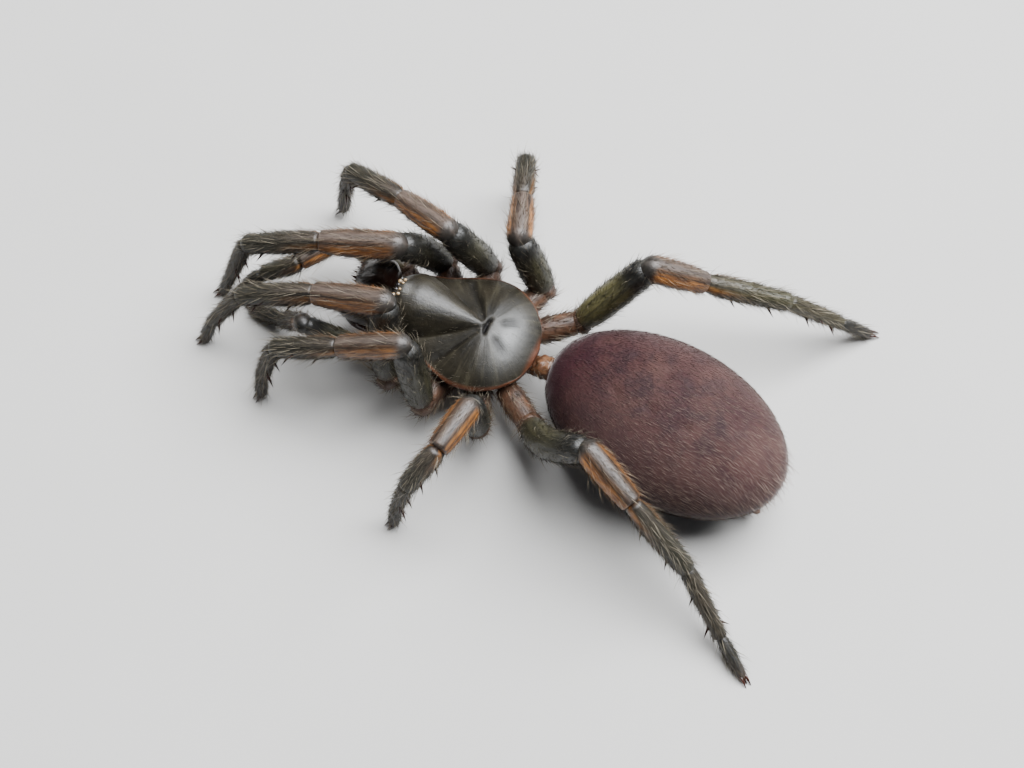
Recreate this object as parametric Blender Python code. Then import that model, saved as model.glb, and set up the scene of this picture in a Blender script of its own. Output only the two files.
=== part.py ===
"""A trapdoor spider at life size, standing as in the photo.

The spider faces -Y, its left is +X and up is +Z. Sizes are in millimetres until a mesh is made.
Each limb is a chain of segments. A segment has a length, and the pose gives it a heading and a
pitch: degrees from straight ahead towards the spider's left, and degrees above level.
"""

import math

import bmesh
import bpy
import numpy as np

MM = 0.001

# Gaps between nodes, and how far a foot is pressed flat by the floor
GAP = 0.3
EYE_GAP = 0.06
FOOT_PRESS = 0.12

# Carapace
CARAPACE_FRONT = -5.35
CARAPACE_REAR = 2.92
CARAPACE_UNDERSIDE = 3.42
CARAPACE_NOSE = (-5.47, 4.3)
CARAPACE_TAIL = (2.95, 3.7)
# Station places close together over the eyes and the pit, wider apart between
CARAPACE_EYE_STATIONS = (-5.2, -5.0, -4.8)
CARAPACE_HEAD_STATIONS = (-4.4, -0.6, 9)
CARAPACE_PIT_STATIONS = (-0.3, 0.0, 0.3)
CARAPACE_SLOPE_STATIONS = (0.7, 2.3, 5)
CARAPACE_REAR_STATIONS = (2.6, 2.8)
OUTLINE = ((-5.35, 1.45), (-5.0, 1.9), (-4.2, 2.15), (-3.2, 2.45), (-2.0, 3.0), (-0.6, 3.43),
           (1.0, 3.15), (2.1, 2.3), (2.7, 1.35), (2.92, 0.6))
CROWN = ((-5.35, 5.15), (-5.0, 5.6), (-4.2, 5.9), (-3.0, 5.75), (-1.0, 5.35), (0.5, 5.05),
         (1.8, 4.65), (2.92, 3.95))
HEAD_WIDTH = ((-5.35, 1.4), (-4.2, 1.9), (-3.0, 1.65), (-1.5, 0.95), (0.0, 0.35), (2.92, 0.3))
THORAX_DROP = ((-5.35, 1.25), (-3.5, 1.4), (-1.5, 0.85), (0.0, 0.0), (2.92, 0.0))
MARGIN_HEIGHT = 3.8
FOVEA_DEPTH = 0.35
FOVEA_WIDTH = 0.55
FOVEA_LENGTH = 0.3
EYE_MOUND = 0.2
EYE_LEAD = 0.02
EYE_MOUND_WIDTH = 0.62
EYE_MOUND_PLACE = -5.05
EYE_MOUND_LENGTH = 0.35
# Place aside and along the body, then radius, for each pair of eyes
EYE_ROWS = ((0.14, -5.2, 0.11), (0.44, -5.24, 0.13), (0.2, -4.94, 0.08), (0.45, -4.93, 0.1))
EYE_NAMES = ("anterior_median", "anterior_lateral", "posterior_median", "posterior_lateral")

# Underside of the front body
STERNUM_LENGTH = (-3.1, 1.8)
STERNUM_HALF_WIDTH = 1.3
STERNUM_LEVELS = (1.6, 3.1)
LABIUM_LENGTH = (-4.15, -3.4)
LABIUM_HALF_WIDTH = 0.33
LABIUM_LEVELS = (1.7, 2.6)
# Outline of a plate: share of its height, then share of its width
PLATE_SHAPE = ((0, 0.75), (0.15, 0.95), (0.5, 1.0), (0.85, 0.95), (1, 0.8))
PLATE_SIDES = 20

# Chelicerae and fangs. A ring of a chelicera: place along the body, half width, height of its
# middle, half height. A ring of a fang: place along the body, height, radius.
CHELICERA_SIDE = 1.0
CHELICERA_REAR = (-5.7, 3.9)
CHELICERA_RINGS = ((-5.75, 0.55, 3.9, 0.95), (-6.0, 0.78, 3.9, 1.45), (-6.6, 0.85, 3.85, 1.65),
                   (-7.2, 0.84, 3.65, 1.45), (-7.7, 0.76, 3.4, 1.15), (-8.05, 0.55, 3.2, 0.75))
CHELICERA_FRONT = (-8.25, 3.15)
CHELICERA_SIDES = 14
FANG_RINGS = ((-7.8, 1.66, 0.33), (-7.3, 1.3, 0.33), (-6.7, 1.1, 0.27), (-6.1, 1.05, 0.18),
              (-5.6, 1.15, 0.08))

# Pedicel: place aside, along the body, height and radius of each ring
PEDICEL_RINGS = ((0.0, 2.15, 2.55, 0.5), (0.0, 2.65, 2.56, 0.52), (-0.02, 3.12, 2.68, 0.6),
                 (-0.04, 3.38, 2.76, 0.66))

# Abdomen
ABDOMEN_MIDDLE = (0.84, 10.84, 3.77)
ABDOMEN_HALF_LENGTH = 7.07
ABDOMEN_HALF_WIDTH = 4.53
ABDOMEN_HALF_HEIGHT = 3.9
ABDOMEN_TURN = 7.75

# Spinnerets, tucked under the rear of the abdomen: place aside of its middle and above it, radius,
# length, and how far behind the skin at that height
SPINNERETS = {
    "posterior_lateral": (0.5, -3.1, 0.25, 0.85, 1.28),
    "posterior_median": (0.3, -3.38, 0.18, 0.35, 1.24),
}
SPINNERET_SPREAD = 0.05
# Share of a spinneret's length, then share of its radius
SPINNERET_SHAPE = ((0, 1.0), (0.35, 0.95), (0.7, 0.85), (1, 0.6))

# Limbs: where each leaves the sternum, where its coxa ends, segment lengths and radii
LIMBS = {
    "1": {
        "root": (2.0, -2.75, 2.35), "hip": (3.8, -4.15, 2.4),
        "lengths": (5.5, 4.5, 4.5, 3.2, 2.0), "radii": (0.64, 0.79, 0.73, 0.57, 0.41, 0.3),
    },
    "2": {
        "root": (2.1, -1.15, 2.35), "hip": (4.5, -1.8, 2.5),
        "lengths": (5.1, 3.9, 3.8, 2.9, 1.9), "radii": (0.64, 0.8, 0.68, 0.55, 0.4, 0.3),
    },
    "3": {
        "root": (2.1, 0.5, 2.35), "hip": (4.5, 1.45, 2.4),
        "lengths": (4.2, 3.0, 2.9, 2.7, 1.8), "radii": (0.64, 0.8, 0.68, 0.53, 0.39, 0.3),
    },
    "4": {
        "root": (1.85, 2.0, 2.45), "hip": (3.4, 4.15, 2.8),
        "lengths": (6.1, 3.7, 4.9, 4.1, 2.4), "radii": (0.66, 0.8, 0.7, 0.55, 0.42, 0.3),
    },
    "palp": {
        "root": (1.2, -4.05, 2.1), "hip": (2.7, -6.0, 2.3),
        "lengths": (4.2, 2.4, 2.6, 2.2), "radii": (0.46, 0.52, 0.52, 0.47, 0.38),
    },
}

# Thickness along each segment: share of its length, then share of its radius
COXA_SHAPE = (0.8, 1.0, 1.05, 1.0)
TROCHANTER_SIZE = 1.08
FEMUR_SHAPE = ((0, 0.78), (0.2, 0.95), (0.45, 1.0), (0.7, 1.0), (0.9, 0.96), (1.0, 0.9))
PATELLA_SHAPE = ((0, 0.95), (0.15, 1.0), (0.45, 1.04), (0.85, 0.9))
TIBIA_SHAPE = ((0.06, 0.9), (0.3, 1.03), (0.6, 1.0), (0.85, 0.91), (1.0, 0.85))
METATARSUS_SHAPE = ((0, 1.05), (0.15, 1.0), (0.6, 0.92), (0.9, 0.85))
TARSUS_SHAPE = ((0.1, 1.02), (0.5, 1.0), (0.94, 0.88))
PALP_TARSUS_SHAPE = ((0.2, 1.0), (0.6, 0.95), (0.93, 0.8))
SHIN_TALLNESS = 1.05

# Pose: heading and pitch of each segment. The last pitch comes from the floor.
POSE = {
    "leg_right_1": ((55, 60), (15, -10), (15, -20), (40, -70), 40),
    "leg_left_1": ((-70, 70), (5, -20), (15, -20), (35, -55), 40),
    "leg_right_2": ((30, 65), (-20, -15), (-15, -15), (10, -80), 20),
    "leg_left_2": ((-30, 75), (15, -20), (15, -20), (55, -70), 60),
    "leg_right_3": ((-15, 65), (-70, -10), (-70, -15), (-65, -85), -65),
    "leg_left_3": ((90, 80), (80, 0), (60, -45), (45, -75), 50),
    "leg_right_4": ((-145, 55), (-155, -30), (-160, -20), (-155, -40), -155),
    "leg_left_4": ((155, 45), (155, -15), (165, -40), (145, -30), 145),
    "palp_right": ((5, 10), (55, -5), (25, -30), 50),
    "palp_left": ((20, 40), (-45, -60), (-20, -50), -5),
}
# How far the middle of a thigh bows out of the straight line, in millimetres
BOW = {
    "leg_right_1": (-0.15, -0.1, 0.1),
    "leg_left_1": (0.1, -0.15, 0.1),
    "leg_left_4": (0.7, -0.25, 0.25),
}

# Spines: half thickness at the root, length, and the lean towards the foot
SPINE_RADIUS = 0.13
SPINE_LENGTH = 0.75
SPINE_LEAN = 0.6
# Shares of the segment's length, then degrees round it from its upper side, right and left
TIBIA_SPINES = ((0.3, 125), (0.3, -125), (0.75, 115), (0.75, -115))
METATARSUS_SPINES = ((0.35, 120), (0.35, -120), (0.8, 110), (0.8, -110))
# The rake on a chelicera: spines, place of the first one, way to the last one, reach of each
RASTELLUM_SPINES = 4
RASTELLUM_START = (-0.5, -7.95, 3.5)
RASTELLUM_ROW = (0.9, 0.1, 0.1)
RASTELLUM_REACH = (0.0, -0.45, 0.12)

# Claws: two large ones and a small one between them on a leg, one on a palp
CLAW_RADIUS = 0.12
CLAW_LENGTH = 0.5
CLAW_SPREAD = 0.3
# Shares of the foot's radius: how far back and how far aside a claw is rooted. Then its arch.
CLAW_BACK = 0.9
CLAW_ASIDE = 0.45
CLAW_ARCH = 0.08
# Side on which each claw of a foot stands and its share of the full length
LEG_CLAWS = ((-1, 1.0), (1, 1.0), (0, 0.65))
PALP_CLAWS = ((0, 0.8),)

SLOTS = {
    "carapace": ((0.045, 0.043, 0.036), 0.25),
    "legs": ((0.06, 0.045, 0.03), 0.3),
    "chelicerae": ((0.035, 0.022, 0.018), 0.25),
    "fangs": ((0.05, 0.012, 0.008), 0.2),
    "underside": ((0.2, 0.1, 0.05), 0.4),
    "pedicel": ((0.24, 0.11, 0.05), 0.4),
    "abdomen": ((0.11, 0.062, 0.06), 0.6),
    "spinnerets": ((0.2, 0.13, 0.1), 0.6),
    "eyes": ((0.5, 0.42, 0.3), 0.1),
}


def start_clean():
    for thing in list(bpy.data.objects):
        bpy.data.objects.remove(thing)
    for name, (colour, roughness) in SLOTS.items():
        material = bpy.data.materials.new(name)
        material.use_nodes = True
        shader = material.node_tree.nodes["Principled BSDF"]
        shader.inputs["Base Color"].default_value = (*colour, 1)
        shader.inputs["Roughness"].default_value = roughness


def along(points, where):
    """A smooth value at this place on a line through the points."""
    places, values = np.array(points, float).T
    slopes = np.gradient(values, places)
    where = np.clip(where, places[0], places[-1])
    i = np.clip(np.searchsorted(places, where) - 1, 0, len(places) - 2)
    step = places[i + 1] - places[i]
    t = (where - places[i]) / step
    rise = (3 - 2 * t) * t * t
    lean = t * (1 - t) ** 2 * slopes[i] - t * t * (1 - t) * slopes[i + 1]
    return values[i] + (values[i + 1] - values[i]) * rise + lean * step


def unit(vector):
    return np.asarray(vector, float) / np.linalg.norm(vector)


def direction(heading, pitch):
    h, p = math.radians(heading), math.radians(pitch)
    return np.array([math.sin(h) * math.cos(p), -math.cos(h) * math.cos(p), math.sin(p)])


def mirrored(point, side):
    return np.array(point, float) * (side, 1, 1)


def make_object(name, points, faces, slot):
    mesh = bpy.data.meshes.new(name)
    mesh.from_pydata((np.asarray(points) * MM).tolist(), [], faces)
    body = bmesh.new()
    body.from_mesh(mesh)
    bmesh.ops.recalc_face_normals(body, faces=body.faces)
    body.to_mesh(mesh)
    body.free()
    mesh.materials.append(bpy.data.materials[slot])
    for face in mesh.polygons:
        face.use_smooth = True
    thing = bpy.data.objects.new(name, mesh)
    bpy.context.scene.collection.objects.link(thing)
    return thing


def loft(rings, ends):
    """A closed surface through rings of equal size, drawn to a point at each end."""
    count = len(rings[0])
    points = np.vstack([*rings, *ends])
    faces = []
    for k in range(len(rings) - 1):
        for i in range(count):
            j = (i + 1) % count
            a, b = k * count, (k + 1) * count
            faces.append((a + i, a + j, b + j, b + i))
    first, last = len(points) - 2, len(points) - 1
    for i in range(count):
        j = (i + 1) % count
        faces.append((first, j, i))
        faces.append((last, len(points) - 2 - count + i, len(points) - 2 - count + j))
    return points, faces


def tube(name, path, radii, slot, sides=12, tall=1.0, cap=0.55):
    """A tube along the path, rounded at both ends, taller than wide by the given factor."""
    path = np.array(path, float)
    steps = np.diff(path, axis=0)
    before, after = unit(steps[0]), unit(steps[-1])
    start = path[0] - before * radii[0] * cap
    end = path[-1] + after * radii[-1] * cap
    rings = []
    angles = np.arange(sides) * 2 * math.pi / sides + math.pi / sides
    for k, (centre, radius) in enumerate(zip(path, radii)):
        back = unit(steps[max(k - 1, 0)])
        ahead = unit(steps[min(k, len(steps) - 1)])
        tangent = unit(back + ahead)
        level = np.array([-tangent[1], tangent[0], 0.0])
        level = unit(level) if np.linalg.norm(level) > 1e-3 else np.array([1.0, 0.0, 0.0])
        top = np.cross(tangent, level)
        ring = centre + np.outer(np.cos(angles) * radius, level)
        rings.append(ring + np.outer(np.sin(angles) * radius * tall, top))
    inner = path[0] - before * radii[0] * cap * 0.75 + (rings[0] - path[0]) * 0.6
    outer = path[-1] + after * radii[-1] * cap * 0.75 + (rings[-1] - path[-1]) * 0.6
    points, faces = loft([inner, *rings, outer], (start, end))
    points[:, 2] = np.maximum(points[:, 2], 0.0)
    return make_object(name, points, faces, slot)


def spike(name, root, tip, radius, slot, bend=None):
    """A short spine or claw of five sides from its root to its tip, bent by the given offset."""
    root, tip = np.array(root, float), np.array(tip, float)
    along_it = unit(tip - root)
    level = unit(np.cross(along_it, (0.3, 0.5, 0.8)))
    top = np.cross(along_it, level)
    angles = np.arange(5) * 2 * math.pi / 5
    round_it = np.outer(np.cos(angles), level) + np.outer(np.sin(angles), top)
    rings = [root + round_it * radius]
    if bend is not None:
        rings.append((root + tip) / 2 + np.array(bend) + round_it * radius * 0.7)
    points, faces = loft(rings, (root - along_it * radius * 0.6, tip))
    points[:, 2] = np.maximum(points[:, 2], 0.0)
    return make_object(name, points, faces, slot)


def spines_on(start, end, radius, places):
    """Spines round a segment, leaning towards its far end."""
    ahead = unit(end - start)
    level = unit(np.array([-ahead[1], ahead[0], 0.0]))
    top = np.cross(ahead, level)
    made = []
    for share, turn in places:
        out = top * math.cos(math.radians(turn)) + level * math.sin(math.radians(turn))
        middle = start + (end - start) * share
        root = middle + out * radius * 0.7
        tip = middle + out * (radius + SPINE_LENGTH * 0.7) + ahead * SPINE_LENGTH * SPINE_LEAN
        made.append(spike("spine", root, tip, SPINE_RADIUS, "legs"))
    return made


def claws_on(joint, foot, radius, claws=LEG_CLAWS):
    """Claws that leave the end of the foot and spread ahead along the floor."""
    ahead = unit(foot - joint)
    level = unit(np.array([-ahead[1], ahead[0], 0.0]))
    forward = np.array([level[1], -level[0], 0.0])
    made = []
    for spread, size in claws:
        root = foot - ahead * radius * CLAW_BACK + level * spread * radius * CLAW_ASIDE
        tip = foot + (forward + level * spread * CLAW_SPREAD) * CLAW_LENGTH * size
        tip[2] = 0.0
        bend = np.array([0, 0, CLAW_ARCH * size])
        made.append(spike("claw", root, tip, CLAW_RADIUS, "legs", bend))
    return made


def ball(name, centre, radii, slot, sides=12, rows=8):
    """An ellipsoid, with its poles up and down."""
    rings = []
    angles = np.arange(sides) * 2 * math.pi / sides
    for row in range(1, rows):
        tilt = math.pi * row / rows - math.pi / 2
        ring = np.stack([np.cos(angles), np.sin(angles), np.zeros(sides)], 1) * math.cos(tilt)
        ring[:, 2] = math.sin(tilt)
        rings.append(centre + ring * radii)
    pole = np.array([0, 0, radii[2]])
    points, faces = loft(rings, (centre - pole, centre + pole))
    return make_object(name, points, faces, slot)


def combine(node, pieces, operation):
    """Joins the pieces to the node, or cuts them out of it, and removes them."""
    group = bpy.data.collections.new(node.name + "_pieces")
    bpy.context.scene.collection.children.link(group)
    for piece in pieces:
        group.objects.link(piece)
    change = node.modifiers.new("change", "BOOLEAN")
    change.operand_type = "COLLECTION"
    change.collection = group
    change.operation = operation
    change.solver = "EXACT"
    apply_modifiers(node)
    for piece in pieces:
        bpy.data.objects.remove(piece)
    bpy.data.collections.remove(group)
    keep_largest(node)


def fuse(name, pieces):
    """One node from pieces that overlap."""
    node = pieces[0]
    combine(node, pieces[1:], "UNION")
    node.name = name
    return node


def apply_modifiers(node):
    bpy.context.view_layer.update()
    graph = bpy.context.evaluated_depsgraph_get()
    solid = bpy.data.meshes.new_from_object(node.evaluated_get(graph))
    node.modifiers.clear()
    node.data = solid


def keep_largest(node):
    """Drops any loose scrap that a cut or a union leaves."""
    body = bmesh.new()
    body.from_mesh(node.data)
    body.faces.ensure_lookup_table()
    unseen = set(body.faces)
    shells = []
    while unseen:
        front = [unseen.pop()]
        shell = list(front)
        while front:
            face = front.pop()
            for edge in face.edges:
                for other in edge.link_faces:
                    if other in unseen:
                        unseen.remove(other)
                        front.append(other)
                        shell.append(other)
        shells.append(shell)
    shells.sort(key=lambda shell: sum(face.calc_area() for face in shell))
    spare = [face for shell in shells[:-1] for face in shell]
    if spare:
        bmesh.ops.delete(body, geom=spare, context="FACES")
        loose = [corner for corner in body.verts if not corner.link_faces]
        bmesh.ops.delete(body, geom=loose, context="VERTS")
    body.to_mesh(node.data)
    body.free()


def slice_off(node, place, outward):
    """Cuts the node flat at this place and drops what lies on the outward side."""
    body = bmesh.new()
    body.from_mesh(node.data)
    geometry = body.verts[:] + body.edges[:] + body.faces[:]
    cut = bmesh.ops.bisect_plane(
        body, geom=geometry, plane_co=np.array(place) * MM, plane_no=outward, clear_outer=True,
        dist=1e-7,
    )
    rim = [piece for piece in cut["geom_cut"] if isinstance(piece, bmesh.types.BMEdge)]
    rim = [edge for edge in rim if edge.is_valid and len(edge.link_faces) == 1]
    bmesh.ops.holes_fill(body, edges=rim)
    bmesh.ops.triangulate(body, faces=[face for face in body.faces if len(face.verts) > 4])
    bmesh.ops.recalc_face_normals(body, faces=body.faces)
    body.to_mesh(node.data)
    body.free()
    keep_largest(node)


def carapace_top(x, y):
    """Height of the shell: a low thorax, a raised head and the pit between them."""
    width = along(OUTLINE, y)
    crown = along(CROWN, y)
    head_width = along(HEAD_WIDTH, y)
    thorax = MARGIN_HEIGHT + (crown - along(THORAX_DROP, y) - MARGIN_HEIGHT) * (
        np.maximum(0, 1 - np.abs(x / width) ** 2.4) ** 0.75
    )
    head = MARGIN_HEIGHT + (crown - MARGIN_HEIGHT) * np.sqrt(
        np.maximum(0, 1 - (x / head_width) ** 2)
    )
    height = np.where(y < 0, np.maximum(thorax, head), thorax)
    pit = np.exp(-((x / FOVEA_WIDTH) ** 2) - ((y / FOVEA_LENGTH) ** 2))
    mound = np.exp(-((x / EYE_MOUND_WIDTH) ** 4) - (((y - EYE_MOUND_PLACE) / EYE_MOUND_LENGTH) ** 2))
    return height - FOVEA_DEPTH * pit + EYE_MOUND * mound


def make_carapace():
    stations = np.concatenate([
        [CARAPACE_FRONT],
        CARAPACE_EYE_STATIONS,
        np.linspace(*CARAPACE_HEAD_STATIONS),
        CARAPACE_PIT_STATIONS,
        np.linspace(*CARAPACE_SLOPE_STATIONS),
        CARAPACE_REAR_STATIONS,
        [CARAPACE_REAR],
    ])
    across = np.sin(np.linspace(-math.pi / 2, math.pi / 2, 17))
    below = np.linspace(0.8, -0.8, 5)
    columns = len(across)
    rings = []
    for y in stations:
        width = along(OUTLINE, y)
        top = np.stack([across * width, np.full(columns, y), carapace_top(across * width, y)], 1)
        under = np.stack([below * width, np.full(len(below), y), below * 0 + CARAPACE_UNDERSIDE], 1)
        rings.append(np.vstack([top, under]))
    points, faces = loft(rings, ((0, *CARAPACE_NOSE), (0, *CARAPACE_TAIL)))
    shell = make_object("carapace", points, faces, "carapace")
    sockets = []
    for name, (x, y, radius) in zip(EYE_NAMES, EYE_ROWS):
        for side_name, side in (("right", -1), ("left", 1)):
            height = carapace_top(np.array(x), y)
            centre = np.array([side * x, y - EYE_LEAD, float(height) + EYE_LEAD])
            hollow = np.full(3, radius + EYE_GAP)
            sockets.append(ball("socket", centre, hollow, "carapace", 10, 6))
            ball(f"eye_{name}_{side_name}", centre, np.full(3, radius), "eyes", 12, 8)
    combine(shell, sockets, "DIFFERENCE")


def slab(name, half_width, length, levels, slot, power=2.0):
    """A rounded plate seen from below, with softened edges."""
    middle = (length[0] + length[1]) / 2
    reach = (length[1] - length[0]) / 2
    angles = np.arange(PLATE_SIDES) * 2 * math.pi / PLATE_SIDES
    cosines = np.sign(np.cos(angles)) * np.abs(np.cos(angles)) ** (2 / power)
    sines = np.sign(np.sin(angles)) * np.abs(np.sin(angles)) ** (2 / power)
    rings = []
    for height, scale in PLATE_SHAPE:
        level = np.full(PLATE_SIDES, levels[0] + (levels[1] - levels[0]) * height)
        ring = (cosines * half_width * scale, middle + sines * reach * scale, level)
        rings.append(np.stack(ring, 1))
    ends = ((0, middle, levels[0]), (0, middle, levels[1]))
    points, faces = loft(rings, ends)
    return make_object(name, points, faces, slot)


def make_chelicera(side_name, side):
    x = side * CHELICERA_SIDE
    rings = []
    angles = (np.arange(CHELICERA_SIDES) * 2 + 1) * math.pi / CHELICERA_SIDES
    for y, width, middle, height in CHELICERA_RINGS:
        ring = (x + np.cos(angles) * width, angles * 0 + y, middle + np.sin(angles) * height)
        rings.append(np.stack(ring, 1))
    points, faces = loft(rings, ((x, *CHELICERA_REAR), (x, *CHELICERA_FRONT)))
    base = make_object(f"chelicera_{side_name}", points, faces, "chelicerae")
    rastellum = []
    for k in range(RASTELLUM_SPINES):
        share = k / (RASTELLUM_SPINES - 1)
        root = mirrored(np.array(RASTELLUM_START) + np.array(RASTELLUM_ROW) * share, side)
        root[0] += x
        tip = root + RASTELLUM_REACH
        rastellum.append(spike("rastellum", root, tip, SPINE_RADIUS, "chelicerae"))
    fuse(f"chelicera_{side_name}", [base, *rastellum])
    path = [(x, y, height) for y, height, _ in FANG_RINGS]
    tube(f"fang_{side_name}", path, [radius for *_, radius in FANG_RINGS], "fangs", sides=10)


def make_abdomen():
    turn = math.radians(ABDOMEN_TURN)
    forward = np.array([math.sin(turn), math.cos(turn), 0.0])
    level = np.array([math.cos(turn), -math.sin(turn), 0.0])
    middle = np.array(ABDOMEN_MIDDLE)
    rings = []
    angles = np.arange(28) * 2 * math.pi / 28
    for place in -np.cos(np.linspace(0, math.pi, 24))[1:-1]:
        size = math.sqrt(1 - place * place)
        ring = middle + forward * place * ABDOMEN_HALF_LENGTH
        ring = ring + np.outer(np.cos(angles) * size * ABDOMEN_HALF_WIDTH, level)
        ring[:, 2] += np.sin(angles) * size * ABDOMEN_HALF_HEIGHT
        rings.append(ring)
    ends = [middle + forward * ABDOMEN_HALF_LENGTH * s for s in (-1, 1)]
    points, faces = loft(rings, ends)
    points[:, 2] = np.maximum(points[:, 2], 0.0)
    make_object("abdomen", points, faces, "abdomen")
    for name, (aside, drop, radius, length, clear) in SPINNERETS.items():
        inside = 1 - (drop / ABDOMEN_HALF_HEIGHT) ** 2 - (aside / ABDOMEN_HALF_WIDTH) ** 2
        reach = ABDOMEN_HALF_LENGTH * math.sqrt(inside) + clear
        for side_name, side in (("right", -1), ("left", 1)):
            root = middle + forward * reach + level * side * aside + np.array([0, 0, drop])
            out = unit(forward + level * side * SPINNERET_SPREAD)
            path = [root + out * length * share for share, _ in SPINNERET_SHAPE]
            radii = [radius * size for _, size in SPINNERET_SHAPE]
            tube(f"spinneret_{name}_{side_name}", path, radii, "spinnerets", sides=10)


def floor_pitch(height, length, radius):
    """The pitch that sets the end of a foot of this radius on the floor."""
    pitch = 0.0
    for _ in range(8):
        drop = radius * math.cos(pitch) * 0.85 - FOOT_PRESS - height
        pitch = math.asin(max(-0.995, min(0.995, drop / length)))
    return math.degrees(pitch)


def chain(name, kind, side):
    """The joints of a limb, from its hip to its foot."""
    joints = [mirrored(LIMBS[kind]["hip"], side)]
    for length, angles in zip(LIMBS[kind]["lengths"], POSE[name]):
        if np.ndim(angles) == 0:
            angles = (angles, floor_pitch(joints[-1][2], length, LIMBS[kind]["radii"][-1]))
        joints.append(joints[-1] + direction(*angles) * length)
    return joints


def swell(start, end, radius, shape):
    """Places and radii along a segment."""
    return [(start + (end - start) * share, radius * factor) for share, factor in shape]


def mitre(joints, k):
    """The normal of the plane that halves the bend at a joint."""
    return unit(unit(joints[k] - joints[k - 1]) + unit(joints[k + 1] - joints[k]))


def make_limb(name, kind, side):
    joints = chain(name, kind, side)
    coxa, *radii = LIMBS[kind]["radii"]
    root = mirrored(LIMBS[kind]["root"], side)
    hip, knee = joints[0], joints[1]
    bow = np.array(BOW.get(name, (0, 0, 0)), float)
    base = tube(name + "_coxa", [root, (root * 2 + hip) / 3, (root + hip * 2) / 3, hip],
                [coxa * share for share in COXA_SHAPE], "legs")
    hip_ball = ball(name + "_trochanter", hip, np.full(3, coxa * TROCHANTER_SIZE), "legs", 12, 8)
    path = [hip + (knee - hip) * s + bow * math.sin(math.pi * s) for s, _ in FEMUR_SHAPE]
    femur = tube(name + "_femur", path, [radii[0] * r for _, r in FEMUR_SHAPE], "legs")
    upper = fuse(name + "_upper", [base, hip_ball, femur])
    normal = mitre(joints, 1)
    slice_off(upper, knee - normal * GAP / 2, normal)

    ankle = joints[3]
    parts = swell(knee, joints[2], radii[1], PATELLA_SHAPE)
    parts += swell(joints[2], ankle, radii[2], TIBIA_SHAPE)
    shin_name = name + ("_lower" if kind == "palp" else "_shin")
    if kind == "palp":
        parts += swell(ankle, joints[4], radii[3], PALP_TARSUS_SHAPE)
    places, sizes = zip(*parts)
    shin = tube(shin_name, places, sizes, "legs", tall=SHIN_TALLNESS)
    if kind == "palp":
        extras = claws_on(ankle, joints[4], radii[3], PALP_CLAWS)
    else:
        extras = spines_on(joints[2], ankle, radii[2], TIBIA_SPINES)
    shin = fuse(shin_name, [shin, *extras])
    slice_off(shin, knee + normal * GAP / 2, -normal)
    if kind == "palp":
        return

    normal = mitre(joints, 3)
    slice_off(shin, ankle - normal * GAP / 2, normal)
    metatarsus, tarsus = radii[3], radii[4]
    parts = swell(ankle, joints[4], metatarsus, METATARSUS_SHAPE)
    parts += swell(joints[4], joints[5], tarsus, TARSUS_SHAPE)
    places, sizes = zip(*parts)
    foot = tube(name + "_foot", places, sizes, "legs", sides=10)
    extras = spines_on(ankle, joints[4], metatarsus, METATARSUS_SPINES)
    extras += claws_on(joints[4], joints[5], tarsus)
    foot = fuse(name + "_foot", [foot, *extras])
    slice_off(foot, ankle + normal * GAP / 2, -normal)


def stand_on_middle():
    """Moves everything so that the middle of the footprint is the origin."""
    low, high = np.full(3, np.inf), np.full(3, -np.inf)
    things = [thing for thing in bpy.data.objects if thing.type == "MESH"]
    for thing in things:
        corners = np.array([corner.co for corner in thing.data.vertices])
        low, high = np.minimum(low, corners.min(0)), np.maximum(high, corners.max(0))
    shift = -(low + high) / 2
    shift[2] = -low[2]
    for thing in things:
        for corner in thing.data.vertices:
            corner.co = np.array(corner.co) + shift


def main():
    start_clean()
    make_carapace()
    slab("sternum", STERNUM_HALF_WIDTH, STERNUM_LENGTH, STERNUM_LEVELS, "underside")
    slab("labium", LABIUM_HALF_WIDTH, LABIUM_LENGTH, LABIUM_LEVELS, "underside", 3.0)
    for side_name, side in (("right", -1), ("left", 1)):
        make_chelicera(side_name, side)
        make_limb("palp_" + side_name, "palp", side)
        for number in "1234":
            make_limb(f"leg_{side_name}_{number}", number, side)
    path = [ring[:3] for ring in PEDICEL_RINGS]
    tube("pedicel", path, [ring[3] for ring in PEDICEL_RINGS], "pedicel", cap=0.2)
    make_abdomen()
    stand_on_middle()


main()
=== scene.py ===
"""Looks for the trapdoor spider: skins, shell plates, bristles and soft light round its solids.

Sizes are in millimetres in the spider's own frame until a mesh is made. The spider faces -Y,
its left is +X, up is +Z, and the pit in the middle of its shell stands over the zero point.
"""

import math

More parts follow.
